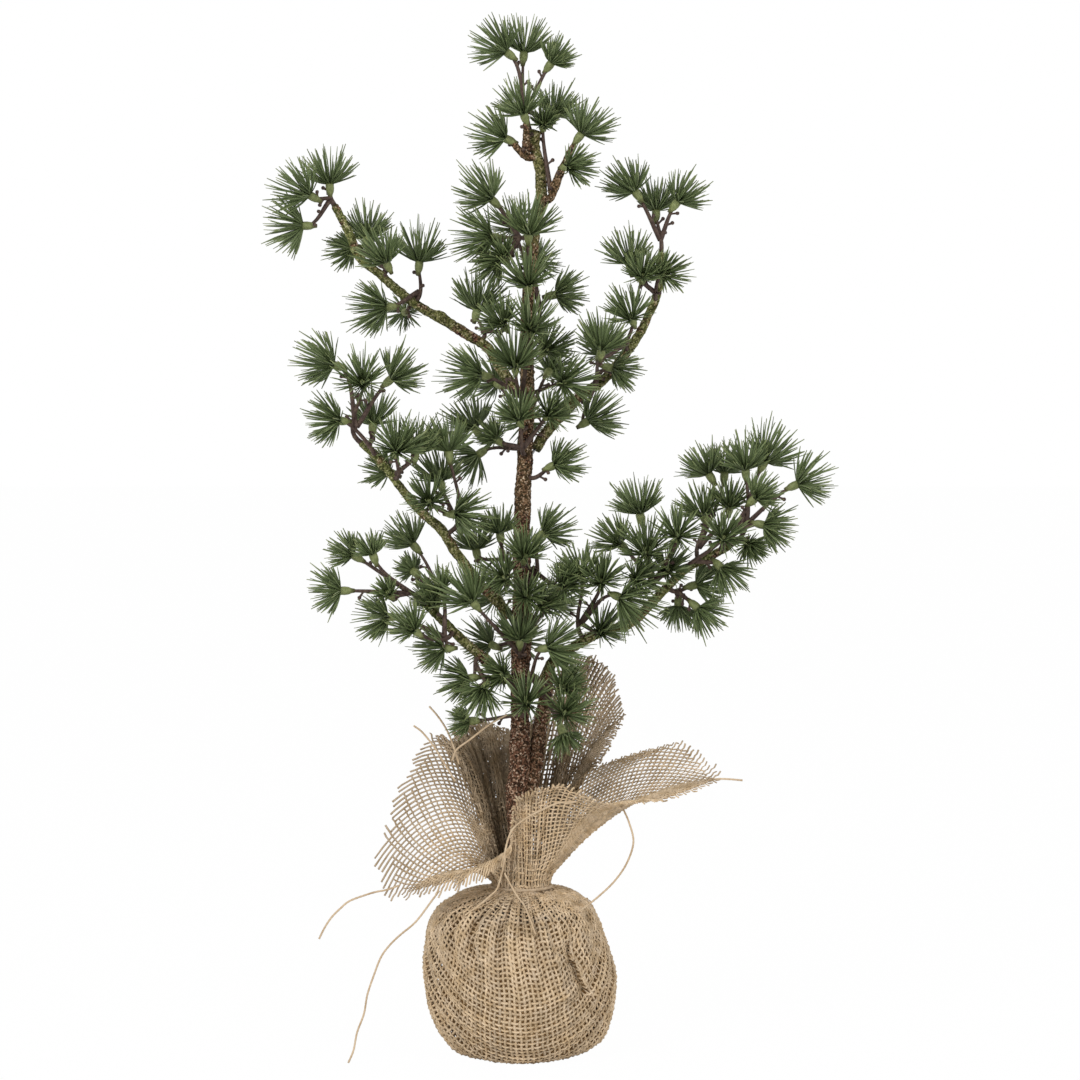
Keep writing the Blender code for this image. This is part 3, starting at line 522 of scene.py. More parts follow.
def pleats(turn):
    """How far the pleats near the tie draw the cloth in: a wave of the turn, weak in the middle of the
    front."""
    flat_angle = np.radians(flat_turn)
    front = np.exp(-((turn % 360 - FRONT_TURN) / FRONT_WIDTH) ** 2)
    depth = np.interp(drawn_out, PLEAT_AT, PLEAT_DEPTH)
    uneven = PLEAT_EVEN + PLEAT_UNEVEN * np.sin(5 * flat_angle)
    wave = np.sin(PLEATS * flat_angle + PLEAT_DRIFT * np.sin(3 * flat_angle)) * uneven
    return depth * (1 - FRONT_CALM * front) * (1 + wave) / 2


def ruffles():
    """How far the ruffles move the flare along its normal: a wave of the turn that grows away from the
    tie."""
    flat_angle = np.radians(flat_turn)
    wave = np.sin(RUFFLES * flat_angle + RUFFLE_DRIFT * np.sin(2 * flat_angle) + RUFFLE_SLANT * drawn_out)
    return RUFFLE_HEIGHT * smooth_step((drawn_out - neck_out - RUFFLE_START) / RUFFLE_FADE) * wave


def first_wrap():
    """Points of the wrapped cloth and where its cut edge lies. Above the tie the turns crowd or spread so
    that each lobe gets its share of cloth; pleats draw the radius in, and ruffles move the flare along its
    normal."""
    lobes = np.interp(flat_turn, LOBES_FLAT, LOBES_ROUND)
    bag = front_first(flat_turn)
    drift = (lobes - bag + 180) % 360 - 180
    turn = bag + smooth_step((drawn_out - neck_out - LOBES_START) / LOBES_FADE) * drift
    t, full = flare_share(turn, drawn_out - neck_out)
    flare_reach, flare_height = flare_point(turn, t)
    flared = drawn_out > neck_out
    radius = np.where(flared, flare_reach, np.interp(drawn_out, profile_along, profile[:, 0]))
    height = np.where(flared, flare_height, np.interp(drawn_out, profile_along, profile[:, 1]))
    lean = np.interp(drawn_out, profile_along, profile[:, 2])
    radius = radius - pleats(turn)
    angle = np.radians(turn)
    wrapped = np.stack([lean + radius * np.cos(angle), radius * np.sin(angle), height], axis=-1)
    return wrapped + cloth_normals(wrapped) * ruffles()[..., None], neck_out + full + EDGE_SPARE


def cloth_normals(grid):
    """Unit normals: the cross product of the slopes along the two directions of yarn, lightly smoothed."""
    normal = np.cross(np.gradient(grid, axis=0), np.gradient(grid, axis=1))
    beside = normal[:-2, 1:-1] + normal[2:, 1:-1] + normal[1:-1, :-2] + normal[1:-1, 2:]
    normal[1:-1, 1:-1] += 0.5 * beside
    return unit(normal + 1e-9)


cloth, edge_out = first_wrap()
kept_cloth = drawn_out < edge_out + KEPT_BEYOND * PITCH
print("cut edge", edge_out.min().round(), "to", edge_out.max().round(), "mm from the middle")

# %% [markdown]
# ### Letting the cloth settle
# The rule stretches some yarns and crowds others. So the grid settles in rounds: each yarn draws its
# crossings back to their spacing, the crossings may shear, and nothing enters the floor, the pot or the
# trunk. Last, a slanted fold is pressed into the right of the bag's front, where the photograph shows a
# crease.

# %% Settle
# First shares that one round takes up, then distances in millimetres.
ROUNDS, QUICK_ROUNDS = 160, 40
YARN_PULL, KINK_HOLD = 0.9, 0.3
FIRM_FRONT, FIRM_ELSEWHERE = 0.4, 0.06
FRONT_SIDE, FIRM_BELOW_TIE = -5, 35
FLARE_DRAW = 0.06
NECK_HALF, NECK_SLACK, NECK_DRAW = 4, 0.8, 0.2
CLOTH_SLACK, POT_CLEAR, ABOVE_POT, TRUNK_CLEAR = 0.6, 1.0, 8.0, 7.6
FLOOR_CLEAR, FOOT_TOP, UNDER_MOST, UNDER_TOP = 0.75, 2.2, 1.4, 20
CREASE = ((42, 36), (26, 76))
CREASE_DEPTH, CREASE_LAP, CREASE_RISE = 5.0, 2.6, 0.25
CREASE_FADE, CREASE_WIDTH, CREASE_REACH = 9, 6, 12


def hold_length(first, second, rest, pull, push):
    """Moves two arrays of points along the line between them: pull shares of a stretch, push shares of a
    squeeze."""
    gap = second - first
    length = np.maximum(np.linalg.norm(gap, axis=-1), 1e-6)
    error = length - rest
    shift = gap * (error / length * np.where(error > 0, pull, push) / 2)[..., None]
    first += shift
    second -= shift


def hold_row(grid, kept, firm):
    """Each yarn along the first direction keeps the spacing of its crossings. Even and odd steps take
    turns, so no point moves twice at once, and a weaker hold over two steps keeps the yarn from kinking."""
    for start in (0, 1):
        a, b = slice(start, -1, 2), slice(start + 1, None, 2)
        many = len(grid[b])
        pull = YARN_PULL * (kept[a][:many] & kept[b])
        hold_length(grid[a][:many], grid[b], PITCH, pull, firm[b] * kept[b])
    for start in range(4):
        a, b = slice(start, -2, 4), slice(start + 2, None, 4)
        many = min(len(grid[a]), len(grid[b]))
        push = KINK_HOLD * firm[b][:many] * kept[b][:many]
        hold_length(grid[a][:many], grid[b][:many], 2 * PITCH, 0.0, push)


def keep_clear(grid, in_bag, at_neck, in_flare):
    """Holds the bag under its outline, pushes points out of the pot, trunk and floor, and keeps the tie
    tight."""
    height = grid[..., 2].copy()
    lean = np.interp(height, profile[1:, 1], profile[1:, 2])
    out = np.maximum(np.hypot(grid[..., 0] - lean, grid[..., 1]), 1e-6)
    most = np.interp(height, profile[1:, 1], profile[1:, 0]) + CLOTH_SLACK
    shrink = np.where(in_bag, np.minimum(most / out, 1), 1)
    grid[..., 0] = lean + (grid[..., 0] - lean) * shrink
    grid[..., 1] *= shrink
    out = np.maximum(np.hypot(grid[..., 0], grid[..., 1]), 1e-6)
    pot = np.interp(height, *np.array([POT_FOOT, POT_BELLY, POT_RIM])[:, ::-1].T, right=ABOVE_POT) + POT_CLEAR
    wanted = np.where(in_bag & (height > FOOT_TOP), np.maximum(out, pot), out)
    wanted = np.where(at_neck, np.clip(wanted, TRUNK_CLEAR, NECK_RADIUS + NECK_SLACK), wanted)
    wanted = np.maximum(wanted, np.where(in_flare, TRUNK_CLEAR, 0))
    grid[..., :2] *= (wanted / out)[..., None]
    under = in_bag & (wanted < POT_FOOT[0] + POT_CLEAR) & (height < UNDER_TOP)
    above_floor = np.maximum(height, FLOOR_CLEAR)
    raised = np.where(under, np.clip(height, FLOOR_CLEAR, UNDER_MOST), above_floor)
    grid[..., 2] = np.where(at_neck, (1 - NECK_DRAW) * raised + NECK_DRAW * NECK_HEIGHT, raised)


def settle(grid, rounds):
    """Rounds of holding lengths and keeping clear, while the flare is drawn weakly to its first shape."""
    first = grid.copy()
    at_neck = np.abs(drawn_out - neck_out) < NECK_HALF
    in_bag = drawn_out < neck_out - NECK_HALF
    in_flare = drawn_out > neck_out + NECK_HALF
    at_front = in_bag & (first[..., 1] < FRONT_SIDE) & (drawn_out < neck_out - FIRM_BELOW_TIE)
    firm = np.where(at_front, FIRM_FRONT, FIRM_ELSEWHERE)
    for _ in range(rounds):
        hold_row(grid, kept_cloth, firm)
        hold_row(grid.transpose(1, 0, 2), kept_cloth.T, firm.T)
        grid += np.where(in_flare, FLARE_DRAW, 0.0)[..., None] * (first - grid)
        keep_clear(grid, in_bag, at_neck, in_flare)


def press_crease(grid):
    """Lays a slanted fold into the front of the bag. Left of its line the cloth sinks towards the pot, by a
    bell curve of the distance from the line. Right of it the cloth slides left and laps over the groove,
    and the first yarns lie side by side along the fold; the slide fades outwards as a power of e."""
    (low_x, low_z), (high_x, high_z) = CREASE
    way_x, way_z = unit((high_x - low_x, high_z - low_z))
    x, z = grid[..., 0] - low_x, grid[..., 2] - low_z
    along = x * way_x + z * way_z
    aside = x * way_z - z * way_x
    length = math.hypot(high_x - low_x, high_z - low_z)
    front = (grid[..., 1] < 0) & (drawn_out < neck_out - NECK_HALF)
    ends = front * smooth_step(along / CREASE_FADE) * smooth_step((length - along) / CREASE_FADE)
    sunk = CREASE_DEPTH * ends * (aside < 0) * np.exp(-(aside / CREASE_WIDTH) ** 2)
    beyond = np.maximum(aside - PITCH, 0)
    slid = np.minimum(np.maximum(aside, 0), PITCH) + CREASE_LAP
    lapped = ends * (aside >= 0) * slid * np.exp(-beyond / CREASE_REACH)
    radius = np.hypot(grid[..., 0], grid[..., 1])
    grid[..., 0] -= lapped * way_z
    grid[..., 2] += lapped * way_x
    wanted = radius - sunk + CREASE_RISE * lapped
    grid[..., :2] *= (wanted / np.maximum(np.hypot(grid[..., 0], grid[..., 1]), 1e-6))[..., None]


settle(cloth, ROUNDS)
press_crease(cloth)
spacing = np.linalg.norm(np.diff(cloth, axis=0), axis=-1)[kept_cloth[1:]]
print("crossing spacing:", np.percentile(spacing, (5, 50, 95)).round(2), "mm")

# %% [markdown]
# ### From crossings to yarns
# In plain weave each yarn goes over one and under the next. So a yarn's path is the line of its crossings,
# moved out and in along the cloth's normal by turns, with a point midway between crossings. Along the cut
# edge the yarns that run with it have dropped out, which leaves the ends of the others standing free as the
# fringe. Where the cloth is gathered the yarns are squeezed thinner, and stray crumbs of yarn are left out.
# The yarns are kept in five meshes, each with every fifth yarn of both directions.

# %% Weave the yarns
# Distances are in millimetres, turns in degrees, and shades run from 0 to 1.
CRIMP = 0.47
BAG_YARN, FLARE_YARN = 0.72, 0.51
SQUEEZED = 0.34
FRINGE = 7.0
FRONT_LOBE = 283.0
INSIDE_TOP = 186.0
YARN_LOWEST = 0.05
BAG_MESHES = 5
THINS_FROM, THINS_TO = neck_out - 30, neck_out + 15
YARN_WIDE, YARN_FLAT, LEAST_YARN = 1.08, 0.92, 0.1
YARN_EVEN, YARN_UNEVEN, YARN_PATCH, YARN_SEED = 0.8, 0.4, 7.0, 11
FRINGE_FAVOUR, FRINGE_SHARP = {(0, 1): 0.6, (1, 0): 0.4}, 4
CUT_UNEVEN, LEAST_CROSSINGS = (-1.0, 2.0), 4
YARN_SHADE, SHADE_SPREAD, LEAST_SHADE = 0.6, 0.2, 0.15
SHADE_VARIES, SHADE_PATCH, SHADE_SEED = 0.5, 14.0, 5
# Painted light on the flare's front lobe; painted shade on the rest of the outer flare, and more low down
# inside the flare behind the trunk.
FRONT_LOBE_HALF, FRONT_PAINTED_LIGHT = 26, 0.3
OUTER_FROM, OUTER_OVER, OUTER_PAINTED_SHADE = 38, 40, 0.7
BEHIND_FROM, BEHIND_OVER = -4, 10
ABOVE_TIE, ABOVE_OVER = 4, 12
INSIDE_DEPTH, INSIDE_REACH, INSIDE_PAINTED_SHADE = 40, 42, 0.7


def halfway(grid):
    """Points with midpoints added along the second direction, each (-1, 9, 9, -1) / 16 of four neighbours."""
    ends = np.concatenate([2 * grid[:, :1] - grid[:, 1:2], grid, 2 * grid[:, -1:] - grid[:, -2:-1]], axis=1)
    middle = (9 * (ends[:, 1:-2] + ends[:, 2:-1]) - ends[:, :-3] - ends[:, 3:]) / 16
    both = np.empty((grid.shape[0], 2 * grid.shape[1] - 1, 3))
    both[:, ::2] = grid
    both[:, 1::2] = middle
    return both


def cut_tubes(points, keep):
    """Four-sided tubes round the kept rings only, with a flat end wherever the kept rings stop, and the
    numbers of the points they use."""
    ring = np.arange(keep.size).reshape(keep.shape) * 4
    corner = np.arange(4)
    joined = keep[:, :-1] & keep[:, 1:]
    low = ring[:, :-1][joined][:, None] + corner
    turned_low = np.roll(low, -1, axis=1)
    walls = np.stack([low, turned_low, turned_low + 4, low + 4], axis=-1).reshape(-1, 4)
    before = np.pad(joined, ((0, 0), (1, 0)))
    after = np.pad(joined, ((0, 0), (0, 1)))
    first = ring[after & ~before][:, None] + corner[::-1]
    last = ring[before & ~after][:, None] + corner
    faces = np.vstack([walls, first, last])
    used, faces = np.unique(faces, return_inverse=True)
    return points.reshape(-1, 3)[used], faces.reshape(-1, 4), used


def free_edge():
    """Distance inside the cut edge and the way the edge faces, from the slopes of what is left of the
    cloth."""
    left_over = edge_out - drawn_out
    slopes = np.stack(np.gradient(left_over, PITCH))
    steep = np.maximum(np.linalg.norm(slopes, axis=0), 1e-6)
    return left_over / np.clip(steep, 1, 3), slopes / steep


def drop_crumbs(keep):
    """Leaves out stretches with fewer than LEAST_CROSSINGS: stretches are numbered and their crossings
    counted."""
    starts = keep & ~np.pad(keep, ((0, 0), (1, 0)))[:, :-1]
    stretch = np.cumsum(starts.ravel()).reshape(keep.shape)
    crossings = np.bincount(stretch[keep], minlength=stretch.max() + 1)
    return keep & (crossings[stretch] >= LEAST_CROSSINGS)


def yarn_room(order):
    """Distance to the next yarn of the same direction: the area of a mesh of the cloth over its length."""
    grid = cloth.transpose(*order, 2)
    aside, along = np.gradient(grid, axis=0), np.gradient(grid, axis=1)
    area = np.linalg.norm(np.cross(aside, along), axis=-1)
    return area / np.maximum(np.linalg.norm(along, axis=-1), 1e-6)


def doubled(values):
    """The value of each crossing, repeated for the midpoint after it."""
    return np.repeat(values, 2, axis=1)[:, :-1]


def yarn_thickness(path, out, room):
    """Half thickness: it falls from the bag's to the flare's across the tie, varies with noise, and is held
    to a share of the room where the cloth is gathered."""
    thick = np.interp(out, [THINS_FROM, THINS_TO], [BAG_YARN, FLARE_YARN])
    thick = thick * (YARN_EVEN + YARN_UNEVEN * grain(path, YARN_PATCH, YARN_SEED))
    return np.minimum(thick, SQUEEZED * room + LEAST_YARN)


def kept_rings(order, picked):
    """Which rings of the picked yarns stay. Yarns that run along the cut edge end up to FRINGE further in
    than those that meet it, chance cuts each a little unevenly, and a midpoint stays only between two kept
    crossings."""
    beside = edge_facing[order[0]].transpose(order)[picked]
    dropped = smooth_step(FRINGE_FAVOUR[order] + FRINGE_SHARP * (beside ** 2 - 0.5))
    margin = edge_margin.transpose(order)[picked] - FRINGE * dropped
    keep = doubled(drop_crumbs(margin > chance.uniform(*CUT_UNEVEN, (len(picked), 1))))
    keep[:, 1::2] &= keep[:, 2::2]
    return keep


def yarn_tone_and_painted_shade(path, out, turn):
    """Shade from 0 to 1: chance for each yarn and slow noise along it, then painted shade out on the flare
    but for its front lobe, which gets painted light, and more painted shade low down inside the flare behind
    the trunk."""
    patches = SHADE_VARIES * (grain(path, SHADE_PATCH, SHADE_SEED) - 0.5)
    shade = chance.normal(YARN_SHADE, SHADE_SPREAD, (len(path), 1)) + patches
    front_lobe = np.exp(-((turn - FRONT_LOBE) / FRONT_LOBE_HALF) ** 2)
    outer = smooth_step((out - neck_out - OUTER_FROM) / OUTER_OVER)
    # Painted shade out on the flare, and painted light on its front lobe.
    shade = shade - OUTER_PAINTED_SHADE * outer * (1 - front_lobe) + FRONT_PAINTED_LIGHT * front_lobe * (out > neck_out)
    shade = np.clip(shade, LEAST_SHADE, 1)
    # Painted shade low down inside the flare behind the trunk.
    behind = smooth_step((path[..., 1] - BEHIND_FROM) / BEHIND_OVER)
    behind = behind * smooth_step((out - neck_out - ABOVE_TIE) / ABOVE_OVER)
    near = np.exp(-(np.hypot(path[..., 0], path[..., 1]) / INSIDE_REACH) ** 4)
    deep = smooth_step((INSIDE_TOP - path[..., 2]) / INSIDE_DEPTH) * near
    return np.clip(shade - INSIDE_PAINTED_SHADE * behind * deep, 0, 1)


def yarn_tubes(order, over, picked):
    """Tubes for the picked yarns of one direction: order turns the cloth's arrays so that yarns come first,
    and over is +1 where the yarn passes on the outside."""
    path = halfway(cloth.transpose(*order, 2)[picked])
    facing = unit(halfway(normals.transpose(*order, 2)[picked]))
    lift = np.zeros(path.shape[:2])
    lift[:, ::2] = over.transpose(order)[picked] * CRIMP
    path = path + facing * lift[..., None]
    out = doubled(drawn_out.transpose(order)[picked])
    room = halfway(yarn_room(order)[..., None].repeat(3, axis=2)[picked])[..., 0]
    thick = yarn_thickness(path, out, room)
    points = rings(path, facing, thick * YARN_WIDE, thick * YARN_FLAT, 4)
    points[..., 2] = np.maximum(points[..., 2], YARN_LOWEST)
    points, faces, used = cut_tubes(points, kept_rings(order, picked))
    shade = yarn_tone_and_painted_shade(path, out, doubled(flat_turn.transpose(order)[picked]))
    return points, faces, 0, {"shade": np.repeat(shade.ravel(), 4)[used]}


def weave(name, group):
    """A mesh with every fifth yarn of both directions."""
    over = np.where(np.add.outer(np.arange(len(flat_x)), np.arange(flat_x.shape[1])) % 2, 1.0, -1.0)
    along = yarn_tubes((0, 1), over, np.arange(len(flat_x))[group::BAG_MESHES])
    across = yarn_tubes((1, 0), -over, np.arange(flat_x.shape[1])[group::BAG_MESHES])
    piece = put_mesh(name, [along, across], [burlap_look])
    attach(piece, BASE)
    print(name, len(piece.data.polygons) * 2, "triangles")
    return piece


normals = cloth_normals(cloth)
edge_margin, edge_facing = free_edge()
for group in range(BAG_MESHES):
    yarns = weave("burlap_yarns_" + "abcde"[group], group)
    if group == 0:
        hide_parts("burlap_wrap")

# %% [markdown]
# ## The tie
# A turn of twine holds the gathered cloth. It is the same two-ply yarn as the loose threads, only thicker,
# on a circle.

# %% Neck tie
TWINE_RADIUS, TWINE_GAP = 1.1, 0.3
TWINE_STEPS, TWINE_SIDES, TWINE_TWISTS = 180, 12, 14
TWINE_CORE, TWINE_SWELL, TWINE_SHADE = 0.8, 0.2, 0.5


def make_tie():
    """Two-ply twine on a ring that closes on itself: the plies swell the section as they turn about its
    middle."""
    middle = NECK_RADIUS + TWINE_GAP + TWINE_RADIUS
    around = np.linspace(0, 2 * math.pi, TWINE_STEPS + 1)[:-1, None]
    section = np.linspace(0, 2 * math.pi, TWINE_SIDES + 1)[None, :-1]
    swell = TWINE_RADIUS * (TWINE_CORE + TWINE_SWELL * np.abs(np.cos(section - TWINE_TWISTS * around)))
    out = middle + swell * np.cos(section)
    points = np.stack([out * np.cos(around), out * np.sin(around), NECK_HEIGHT + swell * np.sin(section)], -1)
    i = np.arange(TWINE_STEPS)[:, None]
    j = np.arange(TWINE_SIDES)[None]
    here, ahead = i * TWINE_SIDES, (i + 1) % TWINE_STEPS * TWINE_SIDES
    beside = (j + 1) % TWINE_SIDES
    faces = np.stack([here + j, ahead + j, ahead + beside, here + beside], -1).reshape(-1, 4)
    piece = put_mesh("neck_tie", [(points, faces, 0, {"shade": TWINE_SHADE})], [thread_look])
    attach(piece, BASE)
    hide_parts("neck_twine")
    print("tie:", len(faces), "faces")


make_tie()

# %% [markdown]
# ## Bark
# The trunk and branches have a rough coat of brown and red-brown grit. A smooth tube with a bump would look
# like plastic at the edges, so the grit is real relief: two sizes of noise move each point out from the
# middle line. Each small cell of space has its own crumb colour, and patches of moss green cover the
# branches more than the trunk. The height of the relief is stored too, so that the pits get painted shade.

# %% Bark finish
bark_look = Finish("gritty_bark", 0.92, 0.15)
crumb = bark_look.crumbs(1250.0)
brown = bark_look.ramp(crumb, [
    (0.0, (0.020, 0.010, 0.006)), (0.4, (0.066, 0.034, 0.020)), (0.65, (0.165, 0.068, 0.044)),
    (0.86, (0.32, 0.185, 0.12)), (1.0, (0.60, 0.46, 0.35))])
mossy = bark_look.ramp(crumb, [
    (0.0, (0.034, 0.039, 0.011)), (0.4, (0.112, 0.128, 0.036)), (0.75, (0.215, 0.235, 0.082)),
    (1.0, (0.44, 0.42, 0.24))])
patches = bark_look.ramp(bark_look.noise(120.0, 5.0), [(0.34, (0.0, 0.0, 0.0)), (0.46, (1.0, 1.0, 1.0))])
cover = bark_look.mix(bark_look.mix(1.0, patches, bark_look.stored("moss"), "MULTIPLY"), brown, mossy)
# Painted shade: the colour is darkened in the pits of the relief.
pit_painted_shade = bark_look.ramp(bark_look.stored("relief"), [(0.25, (0.42, 0.40, 0.38)), (0.55, (1.0, 1.0, 1.0))])
bark_look.colour(bark_look.mix(1.0, cover, pit_painted_shade, "MULTIPLY"))
bark_look.bump(bark_look.noise(1500.0, 5.0), 0.6, 0.0005)
bark_look = bark_look.material
print("finish:", bark_look.name)

# %% [markdown]
# ### Trunk and branches
# Each limb is a smooth curve through points given above the trunk's foot. A branch starts at its
# joint, which is read from the imported model, so it stays on its hinge when it bends.

# %% Trunk and branches
TRUNK_FOOT = 78.4
TRUNK_RISE = [
    (0, 0, 0), (0, 0, 30), (-2.5, -1, 70), (-1, -2, 92), (-0.5, -2, 126), (0.5, 0, 184), (0.5, 2, 230),
    (2.5, 3, 271), (3.5, 3, 311), (4, 2, 357), (7, 0, 392), (11.5, -1, 415), (11, -1, 432), (8.5, 0, 444),
    (5, 0, 457),
]
TRUNK_BASE_RADIUS, TRUNK_TIP_RADIUS = 6.6, 2.8
BRANCH_ROOT_RADIUS, BRANCH_TIP_RADIUS = 3.2, 2.2
KNOTS = [((-46, 12, 352), 3.6), ((10, -3, 455), 4.2), ((-80, -28, 264), 3.0), ((66, -8, 178), 3.2)]
BRANCHES = {
    "upper_left": [
        (-11, 14, 318), (-19, 16, 331), (-31, 16, 339), (-44, 16, 347), (-57, 17, 354), (-72, 18, 365),
        (-82, 19, 374), (-94, 20, 384), (-99, 20, 396), (-105, 20, 408), (-109, 20, 415)],
    "upper_right": [
        (16, 12, 284), (28, 15, 297), (38, 16, 306), (49, 18, 314), (66, 20, 335), (75, 20, 352),
        (80, 20, 366), (81.5, 20, 388)],
    "mid_left": [
        (-15, -7, 187), (-24, -9, 196), (-37, -12, 214), (-46, -15, 228), (-57, -18, 238), (-70, -22, 254),
        (-82, -25, 270), (-92, -28, 279)],
    "lower_left": [
        (-15, -6, 146), (-22, -8, 153), (-34, -12, 164), (-41, -14, 171), (-55, -18, 185)],
    "lower_right": [
        (14, 4, 140), (20, 4, 151), (42, 2, 165), (52, 0, 169), (65, -4, 174), (93, -12, 203),
        (105, -14, 210), (121, -16, 219)],
}
MOSS_AT = (0.3, 0.8, 0.9)
TRUNK_MOSS, BRANCH_MOSS = (0.05, 0.3, 0.7), (0.75, 0.95, 0.95)
TRUNK_STEP, BRANCH_STEP = 0.6, 0.55
TRUNK_SIDES, BRANCH_SIDES = 48, 32
TRUNK_SEED, BRANCH_SEED, NEXT_SEED = 31, 40, 5
LIMB_POINTS = 200
BARK_GUIDE = (0.35, 1.0, 0.2)
# Sizes of the noise are in millimetres, and what it raises is a share of the radius.
CRUMB_SIZE, GRIT_SIZE, LUMP_SIZE = 1.5, 0.8, 7.0
CRUMB_SHARE, GRIT_SHARE = 0.65, 0.35
RELIEF_RISE, RELIEF_LEVEL, LUMP_RISE = 0.34, 0.45, 0.22
LEAST_TIP = 0.02
TRUNK = "trunk"


def above_foot(points):
    """Points measured from the trunk's foot, as an array measured from the floor."""
    return np.array(points, float) + (0, 0, TRUNK_FOOT)


knuckles = {joint["child"]: np.array(joint["pos_m"]) / MM for joint in frame["record"]["behaviour"]["joints"]}
limbs = {TRUNK: (smooth_path(above_foot(TRUNK_RISE), LIMB_POINTS),
                 np.linspace(TRUNK_BASE_RADIUS, TRUNK_TIP_RADIUS, LIMB_POINTS))}
for limb, points in BRANCHES.items():
    limbs[limb] = (smooth_path(np.vstack([knuckles[limb], above_foot(points)]), LIMB_POINTS),
                   np.linspace(BRANCH_ROOT_RADIUS, BRANCH_TIP_RADIUS, LIMB_POINTS))


def bark_rings(path, radii, sides, seed):
    """Rings whose radius carries fine crumbs, slow lumps of noise and a few knots that fade by a bell curve
    of the distance from their place, drawn in to a small round end at the tip."""
    around = rings(path, BARK_GUIDE, 1.0, 1.0, sides) - path[:, None]
    smooth = path[:, None] + around * radii[:, None, None]
    relief = CRUMB_SHARE * grain(smooth, CRUMB_SIZE, seed) + GRIT_SHARE * grain(smooth, GRIT_SIZE, seed + 1)
    lump = grain(smooth, LUMP_SIZE, seed + 2) - 0.5
    to_tip = (1 - np.linspace(0, 1, len(path))) * path_length(path)
    close = np.sqrt(np.clip(to_tip / radii, LEAST_TIP, 1))
    rough = radii[:, None] * (RELIEF_RISE * (relief - RELIEF_LEVEL) + LUMP_RISE * lump)
    for place, size in KNOTS:
        away = np.linalg.norm(smooth - np.array(place) - (0, 0, TRUNK_FOOT), axis=-1)
        rough = rough + size * np.exp(-(away / size) ** 2)
    radius = (radii[:, None] + rough) * close[:, None]
    return path[:, None] + around * radius[..., None], relief


def bark_tube(path, radii, sides, seed, moss):
    """One closed tube of bark, with its relief and its share of moss."""
    points, relief = bark_rings(path, radii, sides, seed)
    return points, tube_faces(1, len(path), sides), 0, {"relief": relief, "moss": moss}


def make_bark(name, body, node, step, sides, seed, moss):
    """A limb's bark as one closed tube of rings about step millimetres apart, with more or less moss
    towards its tip."""
    path, radii = limbs[name]
    count = int(path_length(path) / step)
    share = np.linspace(0, 1, count)
    fine = sample_path(path, np.linspace(0, 1, len(path)), share)
    fine_radii = np.interp(share, np.linspace(0, 1, len(radii)), radii)
    tube = bark_tube(fine, fine_radii, sides, seed, np.interp(share, MOSS_AT, moss)[:, None])
    piece = put_mesh(name + "_grit", [tube], [bark_look])
    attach(piece, body)
    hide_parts(node)
    print(piece.name, count, "rings")


make_bark(TRUNK, BASE, "trunk_bark", TRUNK_STEP, TRUNK_SIDES, TRUNK_SEED, TRUNK_MOSS)
for order, limb in enumerate(BRANCHES):
    seed = BRANCH_SEED + NEXT_SEED * order
    make_bark(limb, limb, limb + "_bark", BRANCH_STEP, BRANCH_SIDES, seed, BRANCH_MOSS)

# %% [markdown]
# ### A stem beside the trunk
# Below its knuckle the lower right branch runs on down beside the trunk, which makes the foot of the tree
# twice as wide. It is bound to the trunk there and doesn't bend, so it is one more tube of bark that stays
# with the trunk.

# %% Stem beside the trunk
STEM_RISE = [(1, 1, 40), (4.5, 2, 70), (8.6, 2.5, 94), (11.6, 3.5, 114), (13.8, 4, 128), (16.5, 4, 146)]
STEM_RADII = (5.4, 3.2)
STEM_RINGS, STEM_SIDES, STEM_SEED = 180, 32, 64
STEM_MOSS = 0.1


def make_stem():
    """The tube of bark along the stem's line, from inside the gathered cloth up to the root of the branch."""
    path = smooth_path(above_foot(STEM_RISE), STEM_RINGS)
    tube = bark_tube(path, np.linspace(*STEM_RADII, STEM_RINGS), STEM_SIDES, STEM_SEED, STEM_MOSS)
    piece = put_mesh("second_stem_grit", [tube], [bark_look])
    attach(piece, BASE)
    print(piece.name, STEM_RINGS, "rings")


make_stem()

# %% [markdown]
# ## Sprays of needles
# Each spray is one moulding: a thin brown twig with side twigs, a pale green collar at each end, and a fan
# of needles standing out of the collar. A fan could be drawn as a card with a picture of needles, but it
# would look flat from the side. Here each needle is a slim four-sided tube, so a fan has depth from
# everywhere.

# %% Spray finishes
needle_look = Finish("needle_green", 0.55, 0.3)
body_green = needle_look.ramp(needle_look.stored("shade"), [
    (0.0, (0.044, 0.063, 0.020)), (0.45, (0.104, 0.142, 0.052)), (0.8, (0.163, 0.21, 0.092)),
    (1.0, (0.24, 0.285, 0.148))])
tip_green = needle_look.ramp(needle_look.stored("along"), [
    (0.0, (0.7, 0.75, 0.5)), (0.15, (1.0, 1.0, 1.0)), (0.8, (1.0, 1.0, 1.0)), (1.0, (1.35, 1.2, 1.1))])
needle_look.colour(needle_look.mix(1.0, body_green, tip_green, "MULTIPLY"))
needle_look.bump(needle_look.noise(2500.0, 2.0), 0.15, 0.0002)
needle_look = needle_look.material

collar_look = Finish("collar_green", 0.55, 0.3)
green = collar_look.ramp(collar_look.noise(500.0), [
    (0.35, (0.14, 0.165, 0.058)), (0.65, (0.235, 0.265, 0.105))])
fade = collar_look.ramp(collar_look.stored("along"), [(0.0, (0.45, 0.36, 0.36)), (0.35, (1.0, 1.0, 1.0))])
collar_look.colour(collar_look.mix(1.0, green, fade, "MULTIPLY"))
collar_look.bump(collar_look.noise(1200.0), 0.2, 0.0003)
collar_look = collar_look.material

